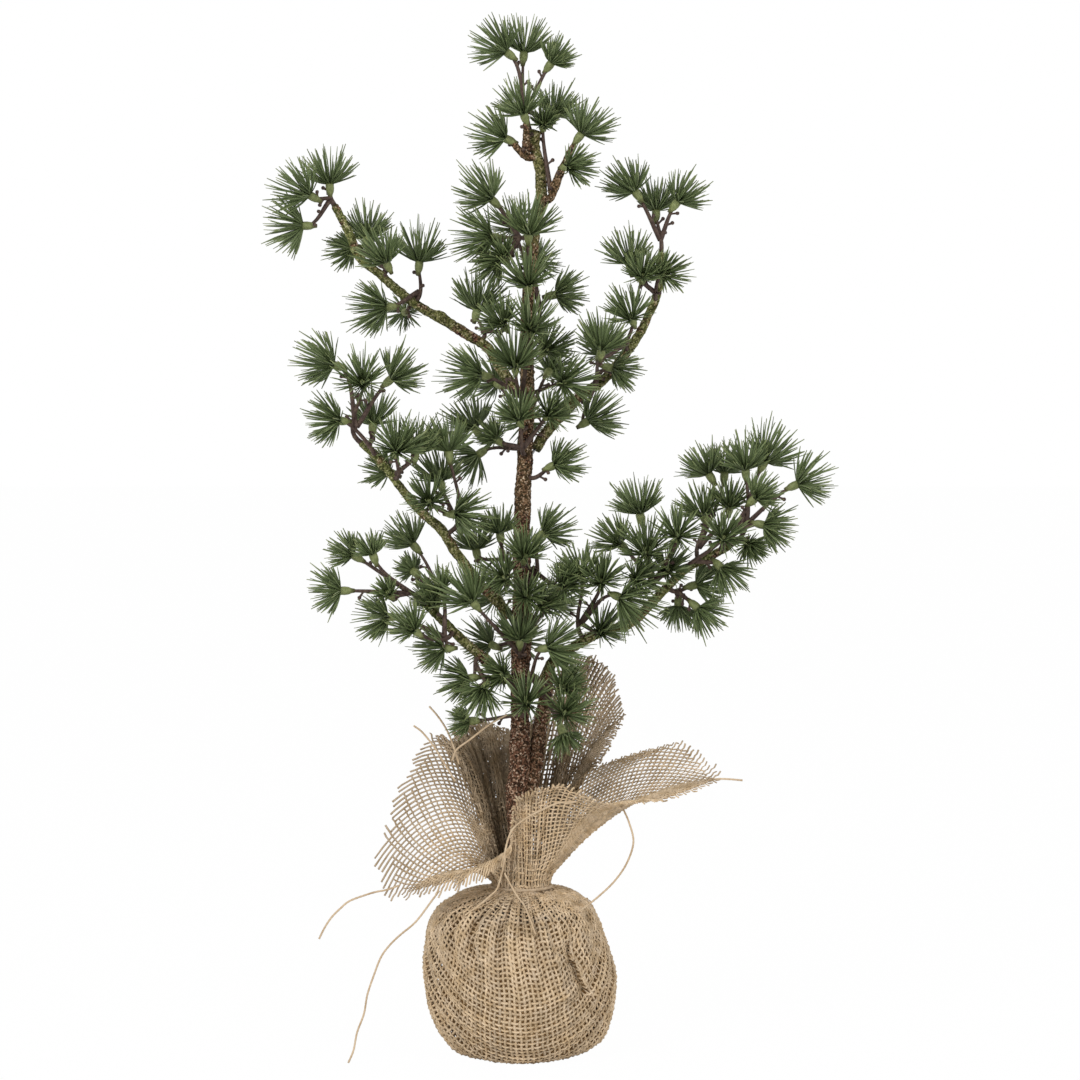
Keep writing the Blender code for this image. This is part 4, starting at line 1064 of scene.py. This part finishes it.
twig_look = Finish("twig_brown", 0.65, 0.3)
twig_look.colour(twig_look.ramp(twig_look.noise(420.0, 4.0), [
    (0.3, (0.042, 0.025, 0.020)), (0.55, (0.088, 0.055, 0.043)), (0.75, (0.135, 0.10, 0.066))]))
twig_look.bump(twig_look.noise(1500.0), 0.4, 0.0004)
twig_look = twig_look.material
print("finishes:", needle_look.name, collar_look.name, twig_look.name)

# %% [markdown]
# ### Where the tufts are
# A spray has the limb it grows from, the share of the limb's length where it leaves it, and its tufts. A
# tuft has a place above the trunk's foot, a direction and a size. The small tufts that fill the crown are
# listed apart.

# %% Where the tufts are
TUFT_REACH = 19.0
SPRAYS = {
    "crown_spray": (TRUNK, 1.0, [
        ((1.7, 6, 500), (0.1, 0.1, 1), 0.95), ((-7.5, -4, 500), (-0.8, -0.2, 0.6), 1.05),
        ((17, 0, 494), (0.6, -0.3, 0.8), 0.75), ((19, 14, 465), (0.3, 0.4, 0.9), 0.9)]),
    "top_left_spray": (TRUNK, 0.965, [
        ((-8, -6, 451), (-1, -0.2, 0.4), 1.0), ((2, -17, 464), (-0.3, -0.4, 0.9), 1.0)]),
    "top_right_spray": (TRUNK, 0.91, [
        ((27, -14, 435), (0.7, -0.6, 0.1), 0.8), ((34, -8, 453), (0.6, 0, 0.8), 1.05)]),
    "neck_left_spray": (TRUNK, 0.86, [
        ((-16, -10, 395), (-1, -0.3, 0.05), 1.1), ((-16, -4, 416), (-0.7, -0.2, 0.7), 1.1),
        ((-12, -6, 382), (-0.8, -0.2, -0.5), 0.8)]),
    "neck_front_spray": (TRUNK, 0.79, [
        ((4, -18, 367), (-0.1, -0.5, 0.85), 1.1), ((4.6, -16, 396), (0.1, -0.4, 0.9), 1.1)]),
    "neck_right_spray": (TRUNK, 0.775, [
        ((19, 4, 362), (1, -0.1, 0.2), 0.9), ((8, 24, 380), (0.2, 0.95, 0.2), 0.9),
        ((-4, 20, 400), (-0.2, 0.9, 0.5), 1.0)]),
    "upper_left_tip_spray": ("upper_left", 1.0, [
        ((-111, 20, 425), (-0.05, 0.1, 1), 1.05), ((-121, 10, 419), (-0.85, -0.3, 0.5), 1.15),
        ((-125, 14, 402), (-1, 0.1, 0), 1.1)]),
    "upper_left_crest_spray": ("upper_left", 0.68, [
        ((-90, 28, 394), (0, 0.5, 0.9), 1.0), ((-77, -4, 380), (-0.4, -0.4, 0.85), 1.05),
        ((-98, 32, 389), (-0.9, 0.4, -0.2), 0.75)]),
    "upper_left_fork_spray": ("upper_left", 0.52, [
        ((-59, 14, 380), (0.1, 0.1, 1), 1.05), ((-77, 8, 355), (-1, -0.3, -0.1), 1.1),
        ((-68, 34, 352), (-0.2, 0.95, 0), 0.7)]),
    "upper_left_inner_spray": ("upper_left", 0.24, [((-26, 20, 352), (0.2, 0.3, 0.95), 1.2)]),
    "upper_right_tip_spray": ("upper_right", 1.0, [
        ((78.6, 26, 410), (0, 0.2, 1), 0.9), ((66.5, 16, 421), (-0.6, -0.1, 0.8), 1.0),
        ((90, 16, 415), (0.6, -0.1, 0.75), 0.95)]),
    "upper_right_mid_spray": ("upper_right", 0.8, [
        ((81.5, 2, 374), (0.5, -0.8, 0.2), 0.8), ((63, 10, 379), (-0.2, -0.1, 1), 1.0),
        ((70, 0, 372), (0.1, -0.7, 0.7), 0.85)]),
    "upper_right_front_spray": ("upper_right", 0.56, [
        ((64, 2, 348), (-0.3, -0.6, 0.75), 0.95), ((46, -14, 330), (0.1, -0.4, 0.9), 1.05)]),
    "upper_right_low_spray": ("upper_right", 0.36, [
        ((52, 6, 320), (0.9, -0.2, -0.2), 0.8), ((38, 2, 289), (0.8, -0.2, 0.5), 1.05),
        ((46, 40, 326), (0.2, 0.8, 0.5), 1.0)]),
    "centre_front_spray": (TRUNK, 0.655, [
        ((-3, -24, 321), (0, -0.6, 0.8), 1.2), ((-22, -16, 316), (-1, -0.4, 0.1), 1.15),
        ((24, -18, 312), (0.5, -0.8, 0.1), 1.1), ((6, -27, 342), (0.15, -0.75, 0.65), 1.1)]),
    "centre_low_spray": (TRUNK, 0.59, [
        ((-1, -20, 291), (-0.2, -0.6, 0.7), 0.9), ((-26, 8, 284), (-0.5, 0.2, 0.8), 1.0),
        ((-24, 14, 270), (-0.7, 0.1, -0.5), 0.9)]),
    "centre_right_spray": (TRUNK, 0.56, [
        ((18.5, -8, 264), (0.9, -0.3, 0.4), 0.9)]),
    "mid_left_tip_spray": ("mid_left", 1.0, [
        ((-89, -44, 312), (-0.1, -0.8, 0.5), 1.0), ((-105, -30, 322), (-0.9, -0.2, 0.3), 1.1),
        ((-74, -34, 314), (0.7, -0.2, 0.6), 1.0)]),
    "mid_left_outer_spray": ("mid_left", 0.92, [
        ((-102, -40, 291), (-0.8, -0.5, 0.1), 0.95), ((-85, -12, 287), (0, 0.4, 0.9), 1.0)]),
    "mid_left_front_spray": ("mid_left", 0.78, [
        ((-70, -44, 274), (0.2, -0.7, 0.6), 1.1), ((-75, -8, 260), (-0.9, 0.3, 0.35), 0.75)]),
    "mid_left_inner_spray": ("mid_left", 0.45, [
        ((-41, -24, 272), (-0.1, 0, 1), 1.0), ((-46, -10, 254), (-0.2, -0.1, 0.95), 1.0),
        ((-38, -24, 237), (0.9, -0.4, 0), 1.0), ((-52, -28, 244), (-0.1, -0.85, 0.5), 0.9)]),
    "low_left_spray": (TRUNK, 0.45, [
        ((-12, -4, 224), (-0.1, -0.2, 0.95), 0.75), ((-26, 12, 213), (-0.2, 0.2, 0.95), 0.85)]),
    "low_right_spray": (TRUNK, 0.43, [
        ((12, -2, 224), (0.8, 0.1, 0.5), 0.9), ((2, -20, 212), (0.1, -0.6, 0.8), 0.9),
        ((3, -21, 190), (0, -0.9, 0.3), 0.85)]),
    "low_front_spray": (TRUNK, 0.335, [
        ((-0.6, -16, 164), (0, -0.4, 0.9), 1.0), ((-27, -32, 187), (-0.6, -0.3, 0.75), 1.25)]),
    "lower_left_tip_spray": ("lower_left", 1.0, [
        ((-84, -32, 214), (-0.3, -0.2, 0.9), 0.65), ((-102, -22, 193), (-1, -0.1, 0), 0.9),
        ((-95, -22, 213), (-0.8, -0.1, 0.5), 0.75), ((-75, -32, 192), (-0.3, -0.6, 0.5), 0.5)]),
    "lower_left_crest_spray": ("lower_left", 0.88, [
        ((-62, 4, 217), (-0.7, 0.1, 0.8), 0.95), ((-62, 2, 202), (-0.5, 0.6, 0.4), 0.55)]),
    "lower_left_mid_spray": ("lower_left", 0.66, [
        ((-60, -42, 172), (-0.6, -0.5, 0.6), 0.85), ((-75, -24, 178), (-0.9, -0.3, 0), 0.9),
        ((-43, -24, 160), (-0.9, -0.3, 0), 0.9)]),
    "lower_left_inner_spray": ("lower_left", 0.34, [
        ((-29, -16, 142), (-0.9, -0.2, -0.1), 0.9), ((-21, -26, 137), (-0.3, -0.6, -0.5), 0.9)]),
    "bottom_front_spray": (TRUNK, 0.26, [
        ((3, -20, 128), (0, -0.8, 0.5), 1.0), ((-29, -6, 116), (-0.9, -0.2, 0), 0.6)]),
    "bottom_right_spray": (TRUNK, 0.305, [
        ((14.5, -22, 160), (0.9, -0.3, 0.2), 1.15), ((25, -20, 122), (0.3, -0.8, 0.4), 1.0),
        ((24, -10, 110), (0.3, -0.3, -0.8), 0.65)]),
    "lower_right_inner_spray": ("lower_right", 0.3, [
        ((35, -16, 200), (-0.2, -0.6, 0.75), 1.0), ((56, -28, 190), (0.8, -0.3, -0.3), 1.25),
        ((46, -26, 198), (0, -0.8, 0.6), 0.95)]),
    "lower_right_mid_spray": ("lower_right", 0.67, [
        ((72, -24, 214), (-0.1, -0.7, 0.7), 1.1), ((69, -4, 235), (-0.2, 0, 1), 1.05),
        ((89, -36, 225), (0, -0.8, 0.5), 0.95)]),
    "lower_right_crest_spray": ("lower_right", 0.86, [
        ((105, -10, 235), (-0.4, -0.3, 0.85), 0.9), ((109, -2, 258), (-0.5, 0.1, 0.8), 0.9),
        ((118, 8, 258), (0.1, 0.3, 0.9), 0.9)]),
    "lower_right_front_spray": ("lower_right", 0.82, [
        ((115, -36, 224), (0.1, -0.8, 0.4), 0.9), ((114, -24, 207), (0.6, -0.3, -0.6), 0.9)]),
    "lower_right_outer_spray": ("lower_right", 0.96, [
        ((138, -24, 231), (0.95, -0.3, -0.2), 0.9), ((133, -30, 246), (0.6, -0.4, 0.6), 0.8)]),
    "lower_right_tip_spray": ("lower_right", 1.0, [
        ((129, -14, 261), (-0.1, -0.2, 1), 1.0), ((140, -4, 265), (0.5, 0.1, 0.85), 1.15),
        ((158, -10, 253), (0.9, 0, 0.4), 1.05)]),
    "lower_right_under_spray": ("lower_right", 0.7, [
        ((100, -8, 195), (0.9, 0.1, 0.2), 0.95), ((101, -14, 183), (0.7, -0.2, -0.6), 0.9),
        ((91, -4, 184), (0, 0, -1), 0.7)]),
    "back_upper_spray": (TRUNK, 0.62, [
        ((2, 44, 287), (0, 1, 0.1), 1.0), ((-14, 34, 310), (-0.5, 0.8, 0.4), 1.0),
        ((16, 36, 317), (0.4, 0.8, 0.5), 1.0)]),
    "back_low_spray": (TRUNK, 0.36, [
        ((0, 42, 157), (0, 1, 0), 1.0), ((-14, 36, 184), (-0.5, 0.8, 0.3), 1.0),
        ((18, 36, 180), (0.5, 0.8, 0.4), 1.0), ((-17, 16, 158), (-0.8, 0.5, 0.3), 0.9)]),
}
INNER_TUFTS = {
    "top_right_spray": [((13, -5, 459), (0.1, -0.7, 0.6), 0.55)],
    "neck_left_spray": [((-10, -13, 383), (-0.5, -0.6, 0.5), 0.75)],
    "neck_right_spray": [((14, -10, 330), (0.5, -0.6, 0.6), 0.85)],
    "upper_left_inner_spray": [((-10, -8, 345), (-0.4, -0.6, 0.6), 0.9)],
    "centre_low_spray": [((16, -12, 293), (0.4, -0.7, 0.4), 0.85), ((-14, -3, 279), (-0.5, -0.5, 0.5), 0.65)],
    "mid_left_front_spray": [((-60, -30, 272), (0.1, -0.3, 0.95), 1.0)],
    "lower_left_crest_spray": [((-50, -16, 184), (-0.3, -0.5, 0.7), 0.8)],
    "lower_left_mid_spray": [((-46, -21, 192), (-0.5, -0.3, 0.8), 0.75)],
    "low_front_spray": [((12, -16, 184), (0.4, -0.7, 0.4), 0.8)],
    "bottom_front_spray": [((-10, -14, 144), (-0.5, -0.7, 0.2), 0.75)],
    "bottom_right_spray": [((24, -14, 136), (0.3, -0.6, 0.6), 0.85)],
    "lower_right_inner_spray": [((46, -10, 168), (0.3, -0.7, 0.5), 0.9)],
    "low_right_spray": [((24, -20, 196), (0.5, -0.7, 0.4), 0.95)],
    "low_left_spray": [((-9, -23, 200), (-0.4, -0.7, 0.5), 0.9)],
    "lower_right_mid_spray": [
        ((84, -16, 204), (0.2, -0.7, 0.4), 0.85), ((58, -6, 218), (-0.6, -0.2, 0.6), 0.9),
        ((66, -24, 200), (0.4, -0.7, 0.2), 0.95)],
    "lower_right_crest_spray": [((120, -8, 240), (0, -0.5, 0.8), 0.75)],
    "lower_right_outer_spray": [((130, -20, 220), (0.3, -0.6, -0.3), 0.65)],
}
print(sum(len(spray[2]) for spray in SPRAYS.values()), "tufts and",
      sum(len(tufts) for tufts in INNER_TUFTS.values()), "small ones between them")

# %% [markdown]
# ### Twigs, collars and needles
# The twigs are bent curves from the bark to each tuft. Collars and pegs are turned profiles, like beads on
# a lathe. The needles of a fan are spread by the golden angle, as seeds are in a flower head, so that none
# lie in rows.

# %% Twigs, collars and needles
TWIG_RADIUS, TWIG_TAPER, TWIG_SIDES = 1.05, (1.5, 0.75), 6
TWIG_STUB, TWIG_SUNK, TWIG_STEPS = 2.0, 1.5, 13
FORK_AT = 0.45
NEEDLES_PER_TUFT = 96
NEEDLE_WIDTH, NEEDLE_DEPTH = 0.49, 0.36
NEEDLE_SHARES = np.array([0.0, 0.34, 0.7, 1.0])
NEEDLE_TAPER = np.array([0.8, 1.0, 1.0, 0.42])
NEEDLE_LONGEST, LEAN_SHORTENS, NEEDLE_UNEVEN = 1.02, 0.13, (0.84, 1.05)
NEEDLE_OUT, NEEDLE_UP = 1.3, 1.2
NEEDLE_BOW, BOW_SPREAD = 0.16, 0.10
NEEDLE_SHADE, NEEDLE_SHADE_SPREAD = 0.5, 0.22
FAN_ANGLE = 76.0
LEAN_SPREAD, TURN_SPREAD = 0.09, 0.25
COLLAR_SIDES, PLAIN_SHADE = 8, 0.5
PEGS_AT, PEG_LEAN = [5, 9], 0.6
COLLAR = np.array([(-7.0, 1.15), (-5.0, 1.5), (-3.4, 2.2), (-1.2, 2.5), (1.2, 2.4), (2.4, 1.0)])
PEG = np.array([(-0.5, 0.75), (2.2, 0.6), (3.4, 0.7), (4.4, 1.2), (5.2, 1.0), (5.6, 0.4)])


def guide_for(directions):
    """A direction that is far from parallel to the given ones: the axis on which they are smallest."""
    return np.eye(3)[np.argmin(np.abs(directions), axis=-1)]


def limb_foot(limb, share, toward):
    """Where a twig leaves its limb and which way: square to the limb towards the tuft, or straight on at
    the tip."""
    path, radii = limbs[limb]
    shares = np.linspace(0, 1, len(path))
    middle = sample_path(path, shares, share)
    ahead = unit(sample_path(headings(path), shares, share))
    if share == 1.0:
        return middle - ahead, ahead
    side = toward - middle
    side = unit(side - ahead * (side @ ahead))
    return middle + side * (np.interp(share, shares, radii) - TWIG_SUNK), side


def bend(start, leave, end, arrive, count):
    """A cubic Hermite curve from one point and direction to another."""
    pull = np.linalg.norm(end - start)
    t = np.linspace(0, 1, count)[:, None]
    return ((2 * t ** 3 - 3 * t ** 2 + 1) * start + (t ** 3 - 2 * t ** 2 + t) * leave * pull
            + (3 * t ** 2 - 2 * t ** 3) * end + (t ** 3 - t ** 2) * arrive * pull)


def twig_paths(limb, share, roots, axes):
    """The first twig from the bark to its tuft, and side twigs from its fork to the others, as one array."""
    start, leave = limb_foot(limb, share, roots[0])
    stub = start + leave * TWIG_STUB
    main = bend(stub, leave, roots[0], axes[0], TWIG_STEPS)
    fork = stub + (main[TWIG_STEPS // 2] - stub) * FORK_AT
    others = zip(roots[1:], axes[1:])
    side = [bend(fork, unit(root - fork), root, axis, TWIG_STEPS + 1) for root, axis in others]
    return np.array([np.vstack([start, main])] + side)


def turned(profile, places, axes, sides):
    """Profiles of (distance along the axis, radius) turned about each axis."""
    paths = places[:, None] + profile[:, 0][None, :, None] * axes[:, None]
    return rings(paths, guide_for(axes)[:, None], profile[:, 1], profile[:, 1], sides)


def fan_of_needles(roots, axes, sizes):
    """Needle tubes. Needle k of a fan leans by FAN_ANGLE sqrt((k + 1/2) / n) from the axis and is turned by
    k golden angles about it, so the fan is evenly filled; chance then changes each lean, turn, length
    and bow a little."""
    k = np.arange(NEEDLES_PER_TUFT)
    many = (len(roots), NEEDLES_PER_TUFT)
    lean = np.radians(FAN_ANGLE) * np.sqrt((k + 0.5) / NEEDLES_PER_TUFT) + chance.normal(0, LEAN_SPREAD, many)
    turn = k * math.pi * (3 - math.sqrt(5)) + chance.normal(0, TURN_SPREAD, many)
    across = unit(np.cross(axes, guide_for(axes)))
    up = np.cross(axes, across)
    out = np.cos(turn)[..., None] * across[:, None] + np.sin(turn)[..., None] * up[:, None]
    way = np.cos(lean)[..., None] * axes[:, None] + np.sin(lean)[..., None] * out
    length = TUFT_REACH * sizes[:, None] * (NEEDLE_LONGEST - LEAN_SHORTENS * lean ** 2)
    length = length * chance.uniform(*NEEDLE_UNEVEN, many)
    bow = NEEDLE_BOW * axes[:, None] + chance.normal(0, BOW_SPREAD, way.shape)
    start = roots[:, None] + out * NEEDLE_OUT + axes[:, None] * NEEDLE_UP
    t = NEEDLE_SHARES[:, None]
    curve = way[..., None, :] * t + bow[..., None, :] * t ** 2
    paths = (start[..., None, :] + length[..., None, None] * curve).reshape(-1, 4, 3)
    guide = guide_for(paths[:, -1] - paths[:, 0])[:, None]
    points = rings(paths, guide, NEEDLE_WIDTH * NEEDLE_TAPER, NEEDLE_DEPTH * NEEDLE_TAPER, 4)
    shade = np.clip(chance.normal(NEEDLE_SHADE, NEEDLE_SHADE_SPREAD, (len(paths), 1, 1)), 0, 1)
    return points, tube_faces(*points.shape[:3]), 0, {"shade": shade, "along": t}


def peg_places(paths):
    """Two small bare pegs on each twig, at set shares of it, pointing out sideways and a little on."""
    at = paths[:, PEGS_AT].reshape(-1, 3)
    ahead = headings(paths)[:, PEGS_AT].reshape(-1, 3)
    side = unit(np.cross(ahead, chance.normal(0, 1, ahead.shape)))
    return at, unit(side + PEG_LEAN * ahead)


def moulded(tubes, finish, along):
    """Closed tubes of one finish, with the value along that the finish reads."""
    return tubes, tube_faces(*tubes.shape[:3]), finish, {"shade": PLAIN_SHADE, "along": along}


def make_spray(name):
    """One moulded spray of twigs, pegs, collars and needles, in place of its outer shape."""
    limb, share, tufts = SPRAYS[name]
    tufts = tufts + INNER_TUFTS.get(name, [])
    roots = above_foot([tuft[0] for tuft in tufts])
    axes = unit([tuft[1] for tuft in tufts])
    sizes = np.array([tuft[2] for tuft in tufts])
    paths = twig_paths(limb, share, roots, axes)
    taper = TWIG_RADIUS * np.linspace(*TWIG_TAPER, paths.shape[1])
    twigs = rings(paths, guide_for(paths[:, -1] - paths[:, 0])[:, None], taper, taper, TWIG_SIDES)
    collars = turned(COLLAR, roots, axes, COLLAR_SIDES)
    pegs = turned(PEG, *peg_places(paths), TWIG_SIDES)
    rise = np.linspace(0, 1, len(COLLAR))[:, None]
    needles = fan_of_needles(roots, axes, sizes)
    parts = [needles, moulded(collars, 1, rise), moulded(twigs, 2, 0.0), moulded(pegs, 2, 0.0)]
    piece = put_mesh(name + "_moulding", parts, [needle_look, collar_look, twig_look])
    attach(piece, BASE if limb == TRUNK else limb)
    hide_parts(name)
    return len(piece.data.polygons)


faces = [make_spray(name) for name in SPRAYS]
print(len(SPRAYS), "sprays,", sum(faces) * 2, "triangles")

# %% [markdown]
# ## The forked top
# Under the top sprays the bark runs on over the twigs, so the trunk seems to fork. The same rings of grit
# as on the trunk are carried along most of each twig, nearly up to the collars.

# %% Forked top
FORKED = ("top_left_spray", "top_right_spray")
FORK_RADII = (2.5, 1.7)
FORK_END, FORK_RINGS, FORK_SIDES = 0.85, 60, 20
FORK_MOSS, FORK_SEED, FORK_NEXT_SEED = 0.2, 70, 3


def make_fork():
    """Closed tubes of bark along the first FORK_END of each twig of the top sprays."""
    parts = []
    for name in FORKED:
        limb, share, tufts = SPRAYS[name]
        roots = above_foot([tuft[0] for tuft in tufts])
        for twig in twig_paths(limb, share, roots, unit([tuft[1] for tuft in tufts])):
            path = sample_path(twig, np.linspace(0, 1, len(twig)), np.linspace(0, FORK_END, FORK_RINGS))
            radii = np.linspace(*FORK_RADII, FORK_RINGS)
            seed = FORK_SEED + FORK_NEXT_SEED * len(parts)
            parts.append(bark_tube(path, radii, FORK_SIDES, seed, FORK_MOSS))
    piece = put_mesh("top_fork_grit", parts, [bark_look])
    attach(piece, BASE)
    print(piece.name, len(parts), "twigs")


make_fork()

# %% [markdown]
# ## What is inside
# The pot, its cement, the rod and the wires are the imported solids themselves. They hardly show, but the
# brown of the pot is seen through the holes of the burlap, and all of them get a finish that fits what they
# are.

# %% Finishes of the inner pieces
pot_look = Finish("pot_plastic", 0.8, 0.1)
pot_look.colour(pot_look.ramp(pot_look.noise(60.0), [
    (0.3, (0.43, 0.265, 0.115)), (0.7, (0.53, 0.345, 0.16))]))
pot_look.bump(pot_look.noise(900.0), 0.1, 0.0003)
cement_look = Finish("cast_cement", 0.95, 0.3)
cement_look.colour(cement_look.ramp(cement_look.noise(220.0, 6.0), [
    (0.3, (0.30, 0.29, 0.27)), (0.7, (0.52, 0.51, 0.48))]))
cement_look.bump(cement_look.noise(600.0, 5.0), 0.6, 0.001)
steel_look = Finish("drawn_steel", 0.35, 0.5, 1.0)
steel_look.colour(steel_look.ramp(steel_look.noise(900.0, 3.0, (1, 1, 0.05)), [
    (0.3, (0.42, 0.42, 0.43)), (0.7, (0.62, 0.62, 0.63))]))
steel_look.bump(steel_look.noise(2000.0, 2.0, (1, 1, 0.04)), 0.1, 0.0002)


def dress(node, look):
    """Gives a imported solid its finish."""
    frame["nodes"][node].data.materials.clear()
    frame["nodes"][node].data.materials.append(look.material)


dress("base_cup", pot_look)
dress("cement_weight", cement_look)
for node in ["trunk_rod"] + [limb + "_wire" for limb in BRANCHES]:
    dress(node, steel_look)
print("inner pieces dressed")

# %% [markdown]
# ## Floor and light
# The photograph has a white ground and soft light from all round with a little more from the front left. A
# pale world does most of it. To the camera the floor is nearly white too, with a faint soft shadow under
# the bag.

# %% Floor, world and lamps
FLOOR_CORNERS = [(-3, -3, 0), (3, -3, 0), (3, 6, 0), (-3, 6, 0)]
FLOOR_WHITE, WORLD_LIGHT = 0.985, 0.62
LAMPS_AIM = (0, 0, 0.25)


def add_floor():
    """A wide level sheet under the tree, seen as mostly white with a share of real shading for the shadow."""
    mesh = bpy.data.meshes.new("floor")
    mesh.from_pydata(FLOOR_CORNERS, [], [(0, 1, 2, 3)])
    floor = bpy.data.objects.new("floor", mesh)
    bpy.context.scene.collection.objects.link(floor)
    look = Finish("white_floor", 0.9, 0.3)
    look.shader.inputs["Base Color"].default_value = (0.9, 0.9, 0.9, 1)
    nodes, links = look.tree.nodes, look.tree.links
    white = nodes.new("ShaderNodeEmission")
    blend = nodes.new("ShaderNodeMixShader")
    share = nodes.new("ShaderNodeMath")
    share.operation = "MULTIPLY"
    share.inputs[1].default_value = FLOOR_WHITE
    links.new(nodes.new("ShaderNodeLightPath").outputs["Is Camera Ray"], share.inputs[0])
    links.new(share.outputs[0], blend.inputs[0])
    links.new(look.shader.outputs[0], blend.inputs[1])
    links.new(white.outputs[0], blend.inputs[2])
    links.new(blend.outputs[0], nodes["Material Output"].inputs["Surface"])
    mesh.materials.append(look.material)


def add_world(strength):
    """White to the camera and in reflections, and a softer white as light."""
    world = bpy.data.worlds.new("studio")
    bpy.context.scene.world = world
    world.use_nodes = True
    nodes, links = world.node_tree.nodes, world.node_tree.links
    path = nodes.new("ShaderNodeLightPath")
    seen = nodes.new("ShaderNodeMath")
    seen.operation = "MAXIMUM"
    links.new(path.outputs["Is Camera Ray"], seen.inputs[0])
    links.new(path.outputs["Is Glossy Ray"], seen.inputs[1])
    level = nodes.new("ShaderNodeMapRange")
    level.inputs["To Min"].default_value = strength
    links.new(seen.outputs[0], level.inputs["Value"])
    links.new(level.outputs["Result"], nodes["Background"].inputs["Strength"])
    nodes["Background"].inputs["Color"].default_value = (1, 1, 1, 1)


def add_lamp(name, place, aim, size, power):
    """A square soft lamp that points from its place to its aim."""
    light = bpy.data.lights.new(name, "AREA")
    light.size = size
    light.energy = power
    lamp = bpy.data.objects.new(name, light)
    lamp.location = place
    lamp.rotation_euler = (Vector(aim) - Vector(place)).to_track_quat("-Z", "Y").to_euler()
    bpy.context.scene.collection.objects.link(lamp)


add_floor()
add_world(WORLD_LIGHT)
add_lamp("key", (-1.1, -1.5, 1.5), LAMPS_AIM, 0.9, 26.0)
add_lamp("fill", (1.4, -1.2, 0.9), LAMPS_AIM, 1.0, 11.0)
bpy.context.scene.view_settings.view_transform = "Standard"
print("floor, world and two lamps")
